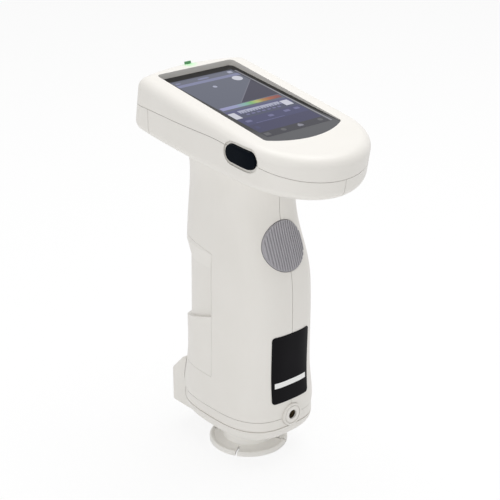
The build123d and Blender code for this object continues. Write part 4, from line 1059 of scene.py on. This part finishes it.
def floor_plane():
    """A large pale floor under the foot plate."""
    half = FLOOR_SIZE / 2
    mesh = bpy.data.meshes.new("floor")
    corners = [(x * half, y * half, 0) for x, y in ((-1, -1), (1, -1), (1, 1), (-1, 1))]
    mesh.from_pydata(corners, [], [(0, 1, 2, 3)])
    floor = add_object("floor", mesh)
    material, tree, output = new_material("painted_board_white")
    shader = add_node(
        tree, "ShaderNodeBsdfPrincipled",
        {"Base Color": srgb("FAFAFA"), "Roughness": 0.9, "Specular IOR Level": 0.1},
    )
    glow = add_node(tree, "ShaderNodeEmission", {"Color": PLAIN_WHITE, "Strength": 1.0})
    share = add_node(tree, "ShaderNodeMath", {"operation": "MULTIPLY", 1: FLOOR_WHITE}, {0: shown_rays(tree)})
    mixed = add_node(
        tree, "ShaderNodeMixShader", {}, {0: share.outputs[0], 1: shader.outputs["BSDF"], 2: glow.outputs[0]}
    )
    tree.links.new(mixed.outputs[0], output.inputs["Surface"])
    mesh.materials.append(material)


floor_plane()
print("floor", FLOOR_SIZE, "m wide")

# %% [markdown]
# The surround lights the object evenly from all sides, so a colour looks as it was written. White walls
# could be built for it, but a plain world does the same.

# %% Surround
SURROUND = 0.62


def surround():
    """A plain surround: even light on the object, white where the camera or a reflection sees it."""
    world = bpy.data.worlds.new("studio")
    bpy.context.scene.world = world
    world.use_nodes = True
    tree = world.node_tree
    tree.nodes.clear()
    strength = add_node(
        tree, "ShaderNodeMapRange", {"To Min": SURROUND, "To Max": 1.0}, {"Value": shown_rays(tree)}
    )
    light = add_node(tree, "ShaderNodeBackground", {"Color": PLAIN_WHITE}, {"Strength": strength.outputs[0]})
    output = add_node(tree, "ShaderNodeOutputWorld")
    tree.links.new(light.outputs[0], output.inputs["Surface"])


surround()
print("surround at", SURROUND)

# %% [markdown]
# Two large square lamps give the light its direction. One stands high over the head and a little to the
# right, and lifts the tops as in the photograph. A weaker one from the front left opens the left-hand
# side, which is the brighter one there. Small lamps would cast hard shadows, and it shows none.
# The Standard view keeps each colour as it was written; the others bend the bright tones.

# %% Lamps
LAMP_TARGET = Vector((0, 0, 0.12))
LAMPS = {  # place and width in metres, power in watts
    "top_lamp": ((0.22, 0.0, 1.15), 0.9, 7.0),
    "side_lamp": ((-0.9, -0.45, 0.3), 0.8, 2.1),
}


def soft_lamp(name, place, size, power):
    """A large square lamp that looks at the middle of the instrument."""
    data = bpy.data.lights.new(name, "AREA")
    data.shape = "SQUARE"
    data.size = size
    data.energy = power
    lamp = add_object(name, data)
    lamp.location = place
    lamp.rotation_euler = (LAMP_TARGET - Vector(place)).to_track_quat("-Z", "Y").to_euler()


for name, (place, size, power) in LAMPS.items():
    soft_lamp(name, place, size, power)
bpy.context.scene.view_settings.view_transform = "Standard"
print("lamps:", len(LAMPS))
